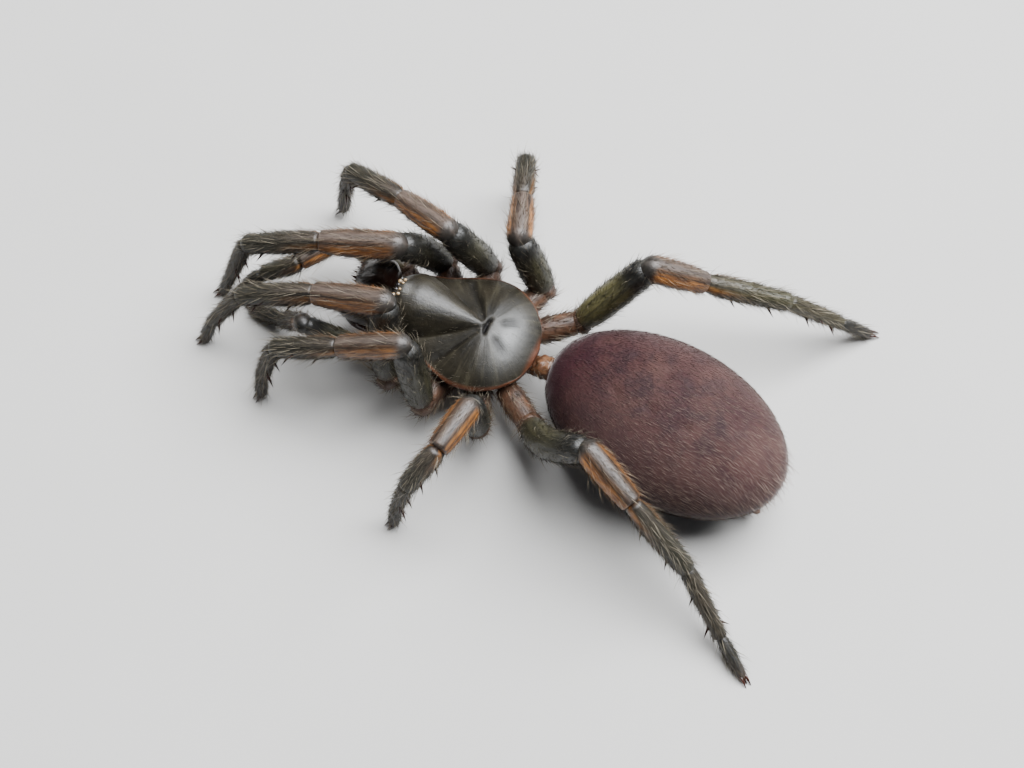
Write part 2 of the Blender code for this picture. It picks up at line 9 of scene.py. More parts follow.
import bpy
import numpy as np
from mathutils import Matrix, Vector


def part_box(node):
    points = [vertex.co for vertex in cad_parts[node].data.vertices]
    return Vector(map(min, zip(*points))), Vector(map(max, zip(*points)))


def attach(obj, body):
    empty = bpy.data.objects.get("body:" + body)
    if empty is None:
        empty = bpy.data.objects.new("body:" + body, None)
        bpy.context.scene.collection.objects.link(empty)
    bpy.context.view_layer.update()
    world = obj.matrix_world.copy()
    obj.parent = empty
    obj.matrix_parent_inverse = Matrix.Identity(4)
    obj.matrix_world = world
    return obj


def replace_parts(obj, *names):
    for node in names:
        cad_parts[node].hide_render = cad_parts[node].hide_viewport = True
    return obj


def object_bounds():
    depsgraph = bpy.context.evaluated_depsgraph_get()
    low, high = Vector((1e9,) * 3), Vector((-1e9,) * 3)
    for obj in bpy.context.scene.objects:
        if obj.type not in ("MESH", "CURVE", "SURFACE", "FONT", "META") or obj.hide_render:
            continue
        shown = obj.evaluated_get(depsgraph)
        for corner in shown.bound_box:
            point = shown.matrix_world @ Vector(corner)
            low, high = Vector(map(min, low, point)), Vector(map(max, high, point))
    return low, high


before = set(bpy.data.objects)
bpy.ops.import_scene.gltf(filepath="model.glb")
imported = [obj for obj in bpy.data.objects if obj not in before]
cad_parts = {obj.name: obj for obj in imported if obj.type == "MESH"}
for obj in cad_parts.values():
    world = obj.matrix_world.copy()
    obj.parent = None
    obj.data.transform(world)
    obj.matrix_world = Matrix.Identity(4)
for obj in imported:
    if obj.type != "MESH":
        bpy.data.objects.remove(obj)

MM = 0.001
cad_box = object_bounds()

# Shell of the front body, the same curves as in the solids: place along the body, then size
CARAPACE_FRONT = -5.35
CARAPACE_REAR = 2.92
CARAPACE_UNDERSIDE = 3.42
OUTLINE = ((-5.35, 1.45), (-5.0, 1.9), (-4.2, 2.15), (-3.2, 2.45), (-2.0, 3.0), (-0.6, 3.43),
           (1.0, 3.15), (2.1, 2.3), (2.7, 1.35), (2.92, 0.6))
CROWN = ((-5.35, 5.15), (-5.0, 5.6), (-4.2, 5.9), (-3.0, 5.75), (-1.0, 5.35), (0.5, 5.05),
         (1.8, 4.65), (2.92, 3.95))
HEAD_WIDTH = ((-5.35, 1.4), (-4.2, 1.9), (-3.0, 1.65), (-1.5, 0.95), (0.0, 0.35), (2.92, 0.3))
THORAX_DROP = ((-5.35, 1.25), (-3.5, 1.4), (-1.5, 0.85), (0.0, 0.0), (2.92, 0.0))
MARGIN_HEIGHT = 3.8
EYE_MOUND = 0.2
EYE_MOUND_WIDTH = 0.62
EYE_MOUND_LENGTH = 0.35
EYE_MOUND_PLACE = -5.05
EYE_LEAD = 0.02
# Grooves from the pit: bearing from straight back, start, end, width and strength
GROOVES = ((128, 0.4, 3.7, 0.21, 0.4), (100, 0.7, 2.9, 0.24, 0.12), (70, 0.8, 2.8, 0.24, 0.12),
           (34, 0.8, 2.3, 0.3, 0.42))
GROOVE_DEPTH = 0.3
# Place aside and along the body, then radius, for each pair of eyes
EYE_ROWS = ((0.14, -5.2, 0.11), (0.44, -5.24, 0.13), (0.2, -4.94, 0.08), (0.45, -4.93, 0.1))
EYE_NAMES = ("anterior_median", "anterior_lateral", "posterior_median", "posterior_lateral")

# Plates of the underside: half width, first and last place along the body, lowest and highest
# level, squareness of the outline, and places aside and along of the dimples
PLATES = {
    "sternum": (1.3, (-3.1, 1.8), (1.6, 3.1), 2.0, ((0.85, -1.6), (0.9, -0.3), (0.75, 0.8))),
    "labium": (0.33, (-4.15, -3.4), (1.7, 2.6), 3.0, ()),
}

# Chelicerae: place along the body, half width, height of the middle and half height of each ring
CHELICERA_SIDE = 1.0
CHELICERA_RINGS = ((-5.75, 0.55, 3.9, 0.95), (-6.0, 0.78, 3.9, 1.45), (-6.6, 0.85, 3.85, 1.65),
                   (-7.2, 0.84, 3.65, 1.45), (-7.7, 0.76, 3.4, 1.15), (-8.05, 0.55, 3.2, 0.75),
                   (-8.22, 0.2, 3.15, 0.3))
CHELICERA_ENDS = ((-5.72, 3.9), (-8.25, 3.15))
# Fangs: place along the body, height and radius of each ring. The first two stand in the chelicera.
FANG_RINGS = ((-7.42, 2.75, 0.3), (-7.62, 2.3, 0.34), (-7.7, 1.85, 0.36), (-7.52, 1.45, 0.35),
              (-7.1, 1.22, 0.32), (-6.6, 1.09, 0.26), (-6.1, 1.05, 0.18), (-5.6, 1.15, 0.05))

# Waist: place aside, along the body, height and radius of each ring
PEDICEL_RINGS = ((0.0, 1.95, 2.6, 0.46), (0.0, 2.15, 2.55, 0.5), (0.0, 2.65, 2.56, 0.52),
                 (-0.02, 3.12, 2.68, 0.6), (-0.04, 3.38, 2.76, 0.66), (-0.06, 4.1, 2.85, 0.6))

# Abdomen: its middle, half sizes and the degrees it is turned to the spider's left
ABDOMEN_MIDDLE = (0.84, 10.84, 3.77)
ABDOMEN_HALF_LENGTH = 7.07
ABDOMEN_HALF_WIDTH = 4.53
ABDOMEN_HALF_HEIGHT = 3.9
ABDOMEN_TURN = 7.75
# How far the skin lies inside the solid, to leave room for the velvet
COAT_DEPTH = 0.12

# Spinnerets under the rear of the abdomen: place aside of its middle and above it, radius, length,
# and how far behind the skin at that height
SPINNERETS = (("posterior_lateral", 0.5, -3.1, 0.25, 0.85, 1.28),
              ("posterior_median", 0.3, -3.38, 0.18, 0.35, 1.24))
SPINNERET_SPREAD = 0.05
# Share of its length, then of its radius: two joints on the way to the tip
SPINNERET_TAPER = ((0, 1.15), (0.2, 1.0), (0.36, 0.92), (0.4, 0.82), (0.44, 0.9), (0.68, 0.84),
                   (0.72, 0.72), (0.76, 0.8), (0.93, 0.6), (1, 0.25))

# Limbs: where each leaves the sternum, where its coxa ends, segment lengths and radii
LIMBS = {
    "1": {
        "root": (2.0, -2.75, 2.35), "hip": (3.8, -4.15, 2.4),
        "lengths": (5.5, 4.5, 4.5, 3.2, 2.0), "radii": (0.64, 0.79, 0.73, 0.57, 0.41, 0.3),
    },
    "2": {
        "root": (2.1, -1.15, 2.35), "hip": (4.5, -1.8, 2.5),
        "lengths": (5.1, 3.9, 3.8, 2.9, 1.9), "radii": (0.64, 0.8, 0.68, 0.55, 0.4, 0.3),
    },
    "3": {
        "root": (2.1, 0.5, 2.35), "hip": (4.5, 1.45, 2.4),
        "lengths": (4.2, 3.0, 2.9, 2.7, 1.8), "radii": (0.64, 0.8, 0.68, 0.53, 0.39, 0.3),
    },
    "4": {
        "root": (1.85, 2.0, 2.45), "hip": (3.4, 4.15, 2.8),
        "lengths": (6.1, 3.7, 4.9, 4.1, 2.4), "radii": (0.66, 0.8, 0.7, 0.55, 0.42, 0.3),
    },
    "palp": {
        "root": (1.2, -4.05, 2.1), "hip": (2.7, -6.0, 2.3),
        "lengths": (4.2, 2.4, 2.6, 2.2), "radii": (0.46, 0.52, 0.52, 0.47, 0.38),
    },
}
# Heading and pitch of each segment. The last pitch comes from the floor.
POSE = {
    "leg_right_1": ((55, 60), (15, -10), (15, -20), (40, -70), 40),
    "leg_left_1": ((-70, 70), (5, -20), (15, -20), (35, -55), 40),
    "leg_right_2": ((30, 65), (-20, -15), (-15, -15), (10, -80), 20),
    "leg_left_2": ((-30, 75), (15, -20), (15, -20), (55, -70), 60),
    "leg_right_3": ((-15, 65), (-70, -10), (-70, -15), (-65, -85), -65),
    "leg_left_3": ((90, 80), (80, 0), (60, -45), (45, -75), 50),
    "leg_right_4": ((-145, 55), (-155, -30), (-160, -20), (-155, -40), -155),
    "leg_left_4": ((155, 45), (155, -15), (165, -40), (145, -30), 145),
    "palp_right": ((5, 10), (55, -5), (25, -30), 50),
    "palp_left": ((20, 40), (-45, -60), (-20, -50), -5),
}
# How far the middle of a femur stands off the straight line between its joints
BOW = {
    "leg_right_1": (-0.15, -0.1, 0.1),
    "leg_left_1": (0.1, -0.15, 0.1),
    "leg_left_4": (0.7, -0.25, 0.25),
}
# How far the solid of a foot is pressed into the floor
FOOT_PRESS = 0.12

# How each limb is marked: strength of the amber stripes, green of the thigh, grey of the shin
# the grey is weaker on most of the left limbs, the side nearer the camera, as painted shade
MARKS = {
    "leg_right_1": (0.8, 0.18, 0.85), "leg_left_1": (0.75, 0.14, 0.85),
    "leg_right_2": (1.0, 0.2, 0.85), "leg_left_2": (0.75, 0.14, 0.6),
    "leg_right_3": (1.05, 0.2, 0.75), "leg_left_3": (0.75, 0.16, 0.6),
    "leg_right_4": (1.2, 1.0, 0.6), "leg_left_4": (1.0, 0.2, 0.45),
    "palp_right": (1.0, 0.4, 0.6), "palp_left": (0.35, 0.2, 0.4),
}

# Spines: root radius, length and lean towards the foot, then where each one stands: the share of
# its segment's length and the degrees round it from the upper line. The small ones are shorter
# by their share.
SPINE_RADIUS = 0.085
SPINE_LENGTH = 0.75
SPINE_LEAN = 0.6
TIBIA_SPINES = ((0.3, 125), (0.3, -125), (0.75, 115), (0.75, -115))
METATARSUS_SPINES = ((0.35, 120), (0.35, -120), (0.8, 110), (0.8, -110))
SMALL_SPINES = ((0.5, 150), (0.5, -150), (0.9, 140), (0.9, -140), (0.62, 75), (0.55, -78))
SMALL_SPINE = 0.62

# The rake on a chelicera: drop, size and number of the spines in each row
RAKE_ROWS = ((0.0, 1.0, 4), (0.26, 0.75, 5))

# Length, thickness, curve, fullness and variation of the spines
LEG_SPINE = (SPINE_LENGTH, SPINE_RADIUS, -0.12, 0.7, 0.06)
RAKE_SPINE = (0.5, 0.1, -0.15, 0.9, 0.1)

# Claws: radius at the root, then the side of each claw of a foot and its share of the full size
CLAW_RADIUS = 0.12
LEG_CLAWS = ((-1, 1.0), (1, 1.0), (0, 0.65))
PALP_CLAWS = ((0, 0.8),)

SIDES = (("right", -1), ("left", 1))
# Nothing comes nearer the floor than the first, or higher above the solids than the second
FLOOR_CLEARANCE = 0.004
TIP_ROOM = 0.22

# How finely each skin is cut: rings along it and points round it
SHELL_TOP_POINTS = 129
SHELL_UNDER_POINTS = 27
EYE_RINGS, EYE_SIDES = 16, 28
PLATE_SIDES = 96
CHELICERA_CUTS, CHELICERA_SIDES = 60, 56
FANG_CUTS, FANG_SIDES = 70, 32
LIMB_RING_STEP, LIMB_SIDES = 0.085, 40
CLAW_CUTS, CLAW_SIDES = 24, 14
PEDICEL_CUTS, PEDICEL_SIDES = 60, 60
ABDOMEN_CUTS, ABDOMEN_SIDES = 170, 200
SPINNERET_CUTS, SPINNERET_SIDES = 60, 28

# Short and long bristles of each coat: how many to the square millimetre, spacing, length and
# thickness in millimetres, lift in degrees, curl, scatter in degrees and paleness
COATS = {
    "carapace": ((34.0, 0.1, 0.24, 0.007, 20, 0.08, 22, 0.5),
                 (3.5, 0.26, 0.6, 0.01, 38, 0.2, 35, 0.9)),
    "chelicera": ((30.0, 0.1, 0.4, 0.014, 25, 0.12, 20, 0.2),
                  (10.0, 0.2, 0.8, 0.018, 42, 0.2, 25, 0.5)),
    "limb": ((130.0, 0.06, 0.5, 0.015, 24, 0.1, 16, 0.2),
             (26.0, 0.13, 1.05, 0.016, 34, 0.18, 24, 0.75)),
    "pedicel": ((22.0, 0.1, 0.35, 0.012, 40, 0.2, 40, 0.8),
                (8.0, 0.2, 0.6, 0.014, 50, 0.25, 50, 0.9)),
    "abdomen": ((60.0, 0.1, 0.42, 0.01, 14, 0.03, 12, 0.6),
                (9.0, 0.2, 0.75, 0.012, 36, 0.15, 22, 0.9)),
    "spinneret": ((40.0, 0.08, 0.25, 0.012, 28, 0.2, 20, 0.5),
                  (8.0, 0.2, 0.5, 0.014, 35, 0.2, 25, 0.8)),
}
# The first random seed of each coat. Each piece after the first takes the next number.
CARAPACE_SEED, CHELICERA_SEED, LIMB_SEED = 3, 11, 40
PEDICEL_SEED, ABDOMEN_SEED, SPINNERET_SEED = 88, 90, 95
RAKE_SEED = 5


# Measuring


def along(points, where):
    """A smooth value at this place on a line through the points."""
    places, values = np.array(points, float).T
    slopes = np.gradient(values, places)
    where = np.clip(where, places[0], places[-1])
    i = np.clip(np.searchsorted(places, where) - 1, 0, len(places) - 2)
    step = places[i + 1] - places[i]
    t = (where - places[i]) / step
    rise = (3 - 2 * t) * t * t
    lean = t * (1 - t) ** 2 * slopes[i] - t * t * (1 - t) * slopes[i + 1]
    return values[i] + (values[i + 1] - values[i]) * rise + lean * step


def unit(vector):
    vector = np.asarray(vector, float)
    return vector / np.linalg.norm(vector, axis=-1, keepdims=True)


def ease(low, high, value):
    """Zero below the low value, one above the high one, smooth between."""
    t = np.clip((value - low) / (high - low), 0, 1)
    return t * t * (3 - 2 * t)


def hill(value, middle, width):
    return np.exp(-(((value - middle) / width) ** 2))


def direction(heading, pitch):
    h, p = math.radians(heading), math.radians(pitch)
    return np.array([math.sin(h) * math.cos(p), -math.cos(h) * math.cos(p), math.sin(p)])


def mirrored(point, side):
    return np.array(point, float) * (side, 1, 1)


def solids_shift():
    """Where the spider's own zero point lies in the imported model, from the abdomen's middle."""
    low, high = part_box("abdomen")
    middle = (np.array(low) + np.array(high)) / 2 / MM
    return np.array([middle[0] - ABDOMEN_MIDDLE[0], middle[1] - ABDOMEN_MIDDLE[1], 0.0])


SHIFT = solids_shift()


def floor_pitch(height, length, radius):
    """The pitch that sets the end of a foot of this radius on the floor."""
    pitch = 0.0
    for _ in range(8):
        drop = radius * math.cos(pitch) * 0.85 - FOOT_PRESS - height
        pitch = math.asin(max(-0.995, min(0.995, drop / length)))
    return math.degrees(pitch)


def chain(name, kind, side):
    """The joints of a limb, from its hip to its foot."""
    joints = [mirrored(LIMBS[kind]["hip"], side)]
    for length, angles in zip(LIMBS[kind]["lengths"], POSE[name]):
        if np.ndim(angles) == 0:
            angles = (angles, floor_pitch(joints[-1][2], length, LIMBS[kind]["radii"][-1]))
        joints.append(joints[-1] + direction(*angles) * length)
    return joints


# Meshes


def put_in_scene(thing):
    bpy.context.scene.collection.objects.link(thing)
    return thing


def as_piece(mesh, drop=()):
    """This mesh as a smooth piece of the body, without the values that only helped to make it."""
    for spare in drop:
        if spare in mesh.attributes:
            mesh.attributes.remove(mesh.attributes[spare])
    mesh.polygons.foreach_set("use_smooth", np.ones(len(mesh.polygons), bool))
    thing = put_in_scene(bpy.data.objects.new(mesh.name, mesh))
    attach(thing, "root")
    return thing


def signed_volume(points, quads):
    """Above zero where the quads of a tube look outward."""
    corner = (points - points.mean(0))[quads]
    first = np.cross(corner[:, 1], corner[:, 2])
    second = np.cross(corner[:, 2], corner[:, 3])
    return float(np.sum(corner[:, 0] * (first + second)))


class Skin:
    """Closed shells gathered into one mesh, with the values that its finish and bristles read."""

    def __init__(self, name):
        self.name = name
        self.points = []
        self.faces = []
        self.places = []
        self.values = {}
        self.count = 0

    def add_shell(self, rings, first, last, place=(0.0, 1.0), **values):
        """A shell through the rings, drawn to a point at each end. Place is its strip of the
        map. A value is one for the whole shell, or one for each ring, each side or each point."""
        rings = np.asarray(rings, float)
        rows, sides = rings.shape[:2]
        start = self.count
        self.points.append(np.vstack([rings.reshape(-1, 3), [first, last]]))
        row, column = np.meshgrid(np.arange(rows - 1), np.arange(sides), indexing="ij")
        row, column = row.ravel(), column.ravel()
        following = (column + 1) % sides
        a, b = row * sides, (row + 1) * sides
        quads = np.stack([a + column, a + following, b + following, b + column], 1) + start
        reach = place[1] - place[0]
        u0 = place[0] + reach * (row + 1) / (rows + 1)
        u1 = place[0] + reach * (row + 2) / (rows + 1)
        v0, v1 = column / sides, (column + 1) / sides
        corners = np.stack([np.stack([u0, v0], 1), np.stack([u0, v1], 1),
                            np.stack([u1, v1], 1), np.stack([u1, v0], 1)], 1)
        i = np.arange(sides)
        j = (i + 1) % sides
        head, tail = start + rows * sides, start + rows * sides + 1
        last_row = (rows - 1) * sides + start
        caps = np.vstack([np.stack([np.full(sides, head), start + j, start + i], 1),
                          np.stack([np.full(sides, tail), last_row + i, last_row + j], 1)])
        near, middle, far = i / sides, (i + 0.5) / sides, (i + 1) / sides
        cap_corners = np.vstack([
            np.stack([np.stack([np.full(sides, u), v], 1) for u, v in corner_places], 1)
            for corner_places in (
                ((place[0], middle), (place[0] + reach / (rows + 1), far),
                 (place[0] + reach / (rows + 1), near)),
                ((place[1], middle), (place[1] - reach / (rows + 1), near),
                 (place[1] - reach / (rows + 1), far)))])
        if signed_volume(self.points[-1], quads - start) < 0:
            quads, corners = quads[:, ::-1], corners[:, ::-1]
            caps, cap_corners = caps[:, ::-1], cap_corners[:, ::-1]
        self.faces.extend(quads.tolist())
        self.faces.extend(caps.tolist())
        self.places.append(corners.reshape(-1, 2))
        self.places.append(cap_corners.reshape(-1, 2))
        size = rows * sides + 2
        for key, value in values.items():
            value = np.asarray(value, float)
            if value.ndim >= 2:
                flat = np.broadcast_to(value, (rows, sides, *value.shape[2:]))
                flat = flat.reshape(rows * sides, *value.shape[2:])
                flat = np.concatenate([flat, flat[:1], flat[-1:]])
            else:
                flat = np.broadcast_to(value, (size, *value.shape)).copy()
            self.values.setdefault(key, []).append(flat)
        self.count += size

    def make(self, material):
        """The finished object, in place round the solids."""
        points = np.vstack(self.points)
        points[:, 2] = np.maximum(points[:, 2], FLOOR_CLEARANCE)
        mesh = bpy.data.meshes.new(self.name)
        mesh.from_pydata(((points + SHIFT) * MM).tolist(), [], self.faces)
        layer = mesh.uv_layers.new(name="place")
        layer.data.foreach_set("uv", np.vstack(self.places).ravel())
        for key, parts in self.values.items():
            value = np.concatenate(parts)
            if value.ndim == 1:
                mesh.attributes.new(key, "FLOAT", "POINT").data.foreach_set("value", value)
            else:
                store = mesh.attributes.new(key, "FLOAT_VECTOR", "POINT")
                store.data.foreach_set("vector", value.ravel())
        mesh.materials.append(material)
        return as_piece(mesh)


def frames(path):
    """Tangent, level and upper direction at each point of a path."""
    tangent = unit(np.gradient(path, axis=0))
    level = np.stack([-tangent[:, 1], tangent[:, 0], np.zeros(len(path))], 1)
    level = unit(level + (1e-9, 0, 0))
    return tangent, level, np.cross(tangent, level)


def tube_rings(path, half_width, half_height, sides):
    """Rings round a path, each from its underside over its top and back."""
    tangent, level, top = frames(path)
    angle = (np.arange(sides) / sides * 2 - 1) * math.pi
    aside = np.outer(half_width, np.sin(angle))
    upward = np.outer(half_height, np.cos(angle))
    rings = path[:, None] + aside[..., None] * level[:, None] + upward[..., None] * top[:, None]
    return rings, np.broadcast_to(angle, aside.shape), tangent, aside, upward


# Node helpers


def add(tree, kind, inputs=None, **settings):
    made = tree.nodes.new(kind)
    for name, value in settings.items():
        setattr(made, name, value)
    for key, value in (inputs or {}).items():
        if isinstance(value, bpy.types.NodeSocket):
            tree.links.new(value, made.inputs[key])
        else:
            made.inputs[key].default_value = value
    return made


def sums(tree, operation, *values):
    """A number worked out by a math node."""
    return add(tree, "ShaderNodeMath", dict(enumerate(values)), operation=operation).outputs[0]


def vector_sums(tree, operation, *values):
    made = add(tree, "ShaderNodeVectorMath", dict(enumerate(values)), operation=operation)
    return made.outputs["Value" if operation in ("DOT_PRODUCT", "LENGTH") else "Vector"]


def scaled(tree, vector, factor):
    made = add(tree, "ShaderNodeVectorMath", {0: vector, "Scale": factor}, operation="SCALE")
    return made.outputs["Vector"]


# Bristles by geometry nodes


def named(tree, name, kind="FLOAT"):
    made = add(tree, "GeometryNodeInputNamedAttribute", {"Name": name}, data_type=kind)
    return made.outputs["Attribute"]


def random_value(tree, low, high, seed):
    made = add(tree, "FunctionNodeRandomValue", data_type="FLOAT")
    numbers = [socket for socket in made.inputs if socket.enabled]
    numbers[0].default_value, numbers[1].default_value = low, high
    for socket in made.inputs:
        if socket.name == "Seed":
            tree.links.new(seed, socket)
    return [socket for socket in made.outputs if socket.enabled][0]


def store(tree, geometry, name, value, kind="FLOAT", domain="POINT"):
    made = add(tree, "GeometryNodeStoreNamedAttribute", {"Geometry": geometry, "Name": name},
               data_type=kind, domain=domain)
    socket = [one for one in made.inputs if one.name == "Value" and one.enabled][0]
    tree.links.new(value, socket)
    return made.outputs["Geometry"]


def name_sockets(tree, *rows):
    """Gives the tree its inputs and outputs: direction, kind and names."""
    for way, kind, *names in rows:
        for name in names:
            tree.interface.new_socket(name, in_out=way, socket_type="NodeSocket" + kind)


BRISTLE_SIZES = ("Density", "Spacing", "Length", "Thickness", "Lift", "Curl", "Scatter", "Paleness")
BRISTLE_UNITS = (1 / MM / MM, MM, MM, MM, math.radians(1), 1.0, math.radians(1), 1.0)
# Values of a skin that its coat has no use for once it is grown
COAT_HELPERS = ("lie", "patch", "short_coat", "long_coat", "short_reach", "long_reach", "ray",
                "lobe", "gleam")


def bristle_family():
    """One kind of bristle, grown where its coat value is above zero and combed along the lie."""
    tree = bpy.data.node_groups.new("bristle_family", "GeometryNodeTree")
    name_sockets(tree, ("INPUT", "Geometry", "Skin"),
                 ("INPUT", "Float", "Coat", "Reach", *BRISTLE_SIZES), ("INPUT", "Int", "Seed"),
                 ("OUTPUT", "Geometry", "Bristles"))
    given = add(tree, "NodeGroupInput").outputs
    seed = given["Seed"]

    grown = add(tree, "GeometryNodeDistributePointsOnFaces", {
        "Mesh": given["Skin"], "Distance Min": given["Spacing"], "Density Max": given["Density"],
        "Density Factor": given["Coat"], "Seed": seed}, distribute_method="POISSON")
    out = grown.outputs["Normal"]

    # The comb turns a little at each root, and the bristle rises from the skin by the lift
    lie = named(tree, "lie", "FLOAT_VECTOR")
    swing = sums(tree, "MULTIPLY", random_value(tree, -1.0, 1.0, seed), given["Scatter"])
    turned = add(tree, "ShaderNodeVectorRotate",
                 {"Vector": lie, "Axis": out, "Angle": swing}, rotation_type="AXIS_ANGLE")
    turned = turned.outputs["Vector"]
    into = vector_sums(tree, "DOT_PRODUCT", turned, out)
    flat = vector_sums(tree, "SUBTRACT", turned, scaled(tree, out, into))
    flat = vector_sums(tree, "NORMALIZE", flat)
    other_seed = sums(tree, "ADD", seed, 7.0)
    rise = sums(tree, "MULTIPLY", random_value(tree, 0.6, 1.4, other_seed), given["Lift"])
    ahead = vector_sums(tree, "ADD", scaled(tree, flat, sums(tree, "COSINE", rise)),
                        scaled(tree, out, sums(tree, "SINE", rise)))
    turn = add(tree, "FunctionNodeAxesToRotation", {
        "Primary Axis": ahead, "Secondary Axis": scaled(tree, out, -1.0)},
        primary_axis="Z", secondary_axis="X").outputs["Rotation"]

    # One bristle, pointing up and curving aside
    cone = add(tree, "GeometryNodeMeshCone", {
        "Vertices": 3, "Side Segments": 2, "Fill Segments": 1, "Radius Top": 0.0,
        "Radius Bottom": given["Thickness"], "Depth": given["Length"]}, fill_type="NGON")
    spot = add(tree, "GeometryNodeInputPosition").outputs[0]
    parts = add(tree, "ShaderNodeSeparateXYZ", {0: spot}).outputs
    height = sums(tree, "DIVIDE", parts[2], given["Length"])
    bend = sums(tree, "MULTIPLY", sums(tree, "MULTIPLY", height, height),
                sums(tree, "MULTIPLY", given["Curl"], given["Length"]))
    bent = add(tree, "GeometryNodeSetPosition", {
        "Geometry": cone.outputs["Mesh"],
        "Offset": add(tree, "ShaderNodeCombineXYZ", {0: bend}).outputs[0]}).outputs[0]
    marked = store(tree, bent, "tip", height)
    across = sums(tree, "DIVIDE", parts[1], given["Thickness"])
    patch = add(tree, "ShaderNodeCombineXYZ", {0: across, 1: height}).outputs[0]
    marked = store(tree, marked, "patch", patch, "FLOAT_VECTOR")

    third_seed = sums(tree, "ADD", seed, 13.0)
    size = sums(tree, "MULTIPLY", random_value(tree, 0.55, 1.1, third_seed), given["Reach"])
    placed = add(tree, "GeometryNodeInstanceOnPoints", {
        "Points": grown.outputs["Points"], "Instance": marked, "Rotation": turn,
        "Scale": size}).outputs[0]
    fourth_seed = sums(tree, "ADD", seed, 29.0)
    placed = store(tree, placed, "tone", random_value(tree, 0.0, 1.0, fourth_seed),
                   domain="INSTANCE")
    paleness = sums(tree, "MULTIPLY", random_value(tree, 0.5, 1.2, third_seed), given["Paleness"])
    placed = store(tree, placed, "pale", paleness, domain="INSTANCE")
    add(tree, "NodeGroupOutput", {"Bristles": placed})


def coat_tree():
    """A coat of short and long bristles over a skin, as plain mesh with its own bake map."""
    tree = bpy.data.node_groups.new("coat_of_bristles", "GeometryNodeTree")
    tree.is_modifier = True
    sizes = [f"{family} {name}" for family in ("Short", "Long") for name in BRISTLE_SIZES]
    name_sockets(tree, ("INPUT", "Geometry", "Skin"), ("INPUT", "Float", *sizes),
                 ("INPUT", "Int", "Seed"), ("INPUT", "Material", "Finish"),
                 ("OUTPUT", "Geometry", "Coat"))
    given = add(tree, "NodeGroupInput").outputs
    joined = add(tree, "GeometryNodeJoinGeometry")
    for family, offset in (("Short", 0.0), ("Long", 101.0)):
        group = add(tree, "GeometryNodeGroup", node_tree=bpy.data.node_groups["bristle_family"])
        wires = {"Skin": given["Skin"], "Seed": sums(tree, "ADD", given["Seed"], offset),
                 "Coat": named(tree, family.lower() + "_coat"),
                 "Reach": named(tree, family.lower() + "_reach")}
        wires.update({name: given[f"{family} {name}"] for name in BRISTLE_SIZES})
        for name, value in wires.items():
            tree.links.new(value, group.inputs[name])
        tree.links.new(group.outputs[0], joined.inputs[0])
    plain = add(tree, "GeometryNodeRealizeInstances", {0: joined.outputs[0]}).outputs[0]
    patch = scaled(tree, named(tree, "patch", "FLOAT_VECTOR"), 0.0015)
    root = named(tree, "place", "FLOAT_VECTOR")
    plain = store(tree, plain, "OFBake", vector_sums(tree, "ADD", root, patch), "FLOAT2",
                  "CORNER")
    done = add(tree, "GeometryNodeSetMaterial", {0: plain, "Material": given["Finish"]})
    add(tree, "NodeGroupOutput", {0: done.outputs[0]})


def keep_in_height(mesh):
    """Bends tips that would pass through the floor, or far above the highest knee, back inside."""
    points = np.empty(len(mesh.vertices) * 3, np.float32)
    mesh.vertices.foreach_get("co", points)
    height = points[2::3]
    top = cad_box[1][2]
    over = np.maximum(height - top, 0)
    height = np.minimum(height, top) + TIP_ROOM * MM * (1 - np.exp(-over / (TIP_ROOM * MM)))
    points[2::3] = np.maximum(height, FLOOR_CLEARANCE * MM)
    mesh.vertices.foreach_set("co", points)


def run_tree(mesh, tree_name, name, inputs):
    """The plain mesh that this tree of nodes makes out of a mesh."""
    helper = put_in_scene(bpy.data.objects.new(name + "_base", mesh))
    change = helper.modifiers.new(tree_name, "NODES")
    change.node_group = bpy.data.node_groups[tree_name]
    for item in change.node_group.interface.items_tree:
        if item.in_out == "INPUT" and item.name in inputs:
            change[item.identifier] = inputs[item.name]
    bpy.context.view_layer.update()
    graph = bpy.context.evaluated_depsgraph_get()
    made = bpy.data.meshes.new_from_object(helper.evaluated_get(graph))
    bpy.data.objects.remove(helper)
    made.name = name
    keep_in_height(made)
    return made


def grow_coat(skin, name, finish, seed, coat):
    """Short and long bristles over this skin, sized as this coat of the table says."""
    inputs = {"Seed": seed, "Finish": finish}
    for family, sizes in zip(("Short", "Long"), COATS[coat]):
        for size, unit_of_size, value in zip(BRISTLE_SIZES, BRISTLE_UNITS, sizes):
            inputs[f"{family} {size}"] = float(value * unit_of_size)
    mesh = run_tree(skin.data.copy(), "coat_of_bristles", name, inputs)
    if not mesh.materials:
        mesh.materials.append(finish)
    return as_piece(mesh, COAT_HELPERS)


# Spines by geometry nodes

SPINE_SIZES = ("Length", "Thickness", "Curve", "Fullness", "Variation")
SPINE_SIDES = 9


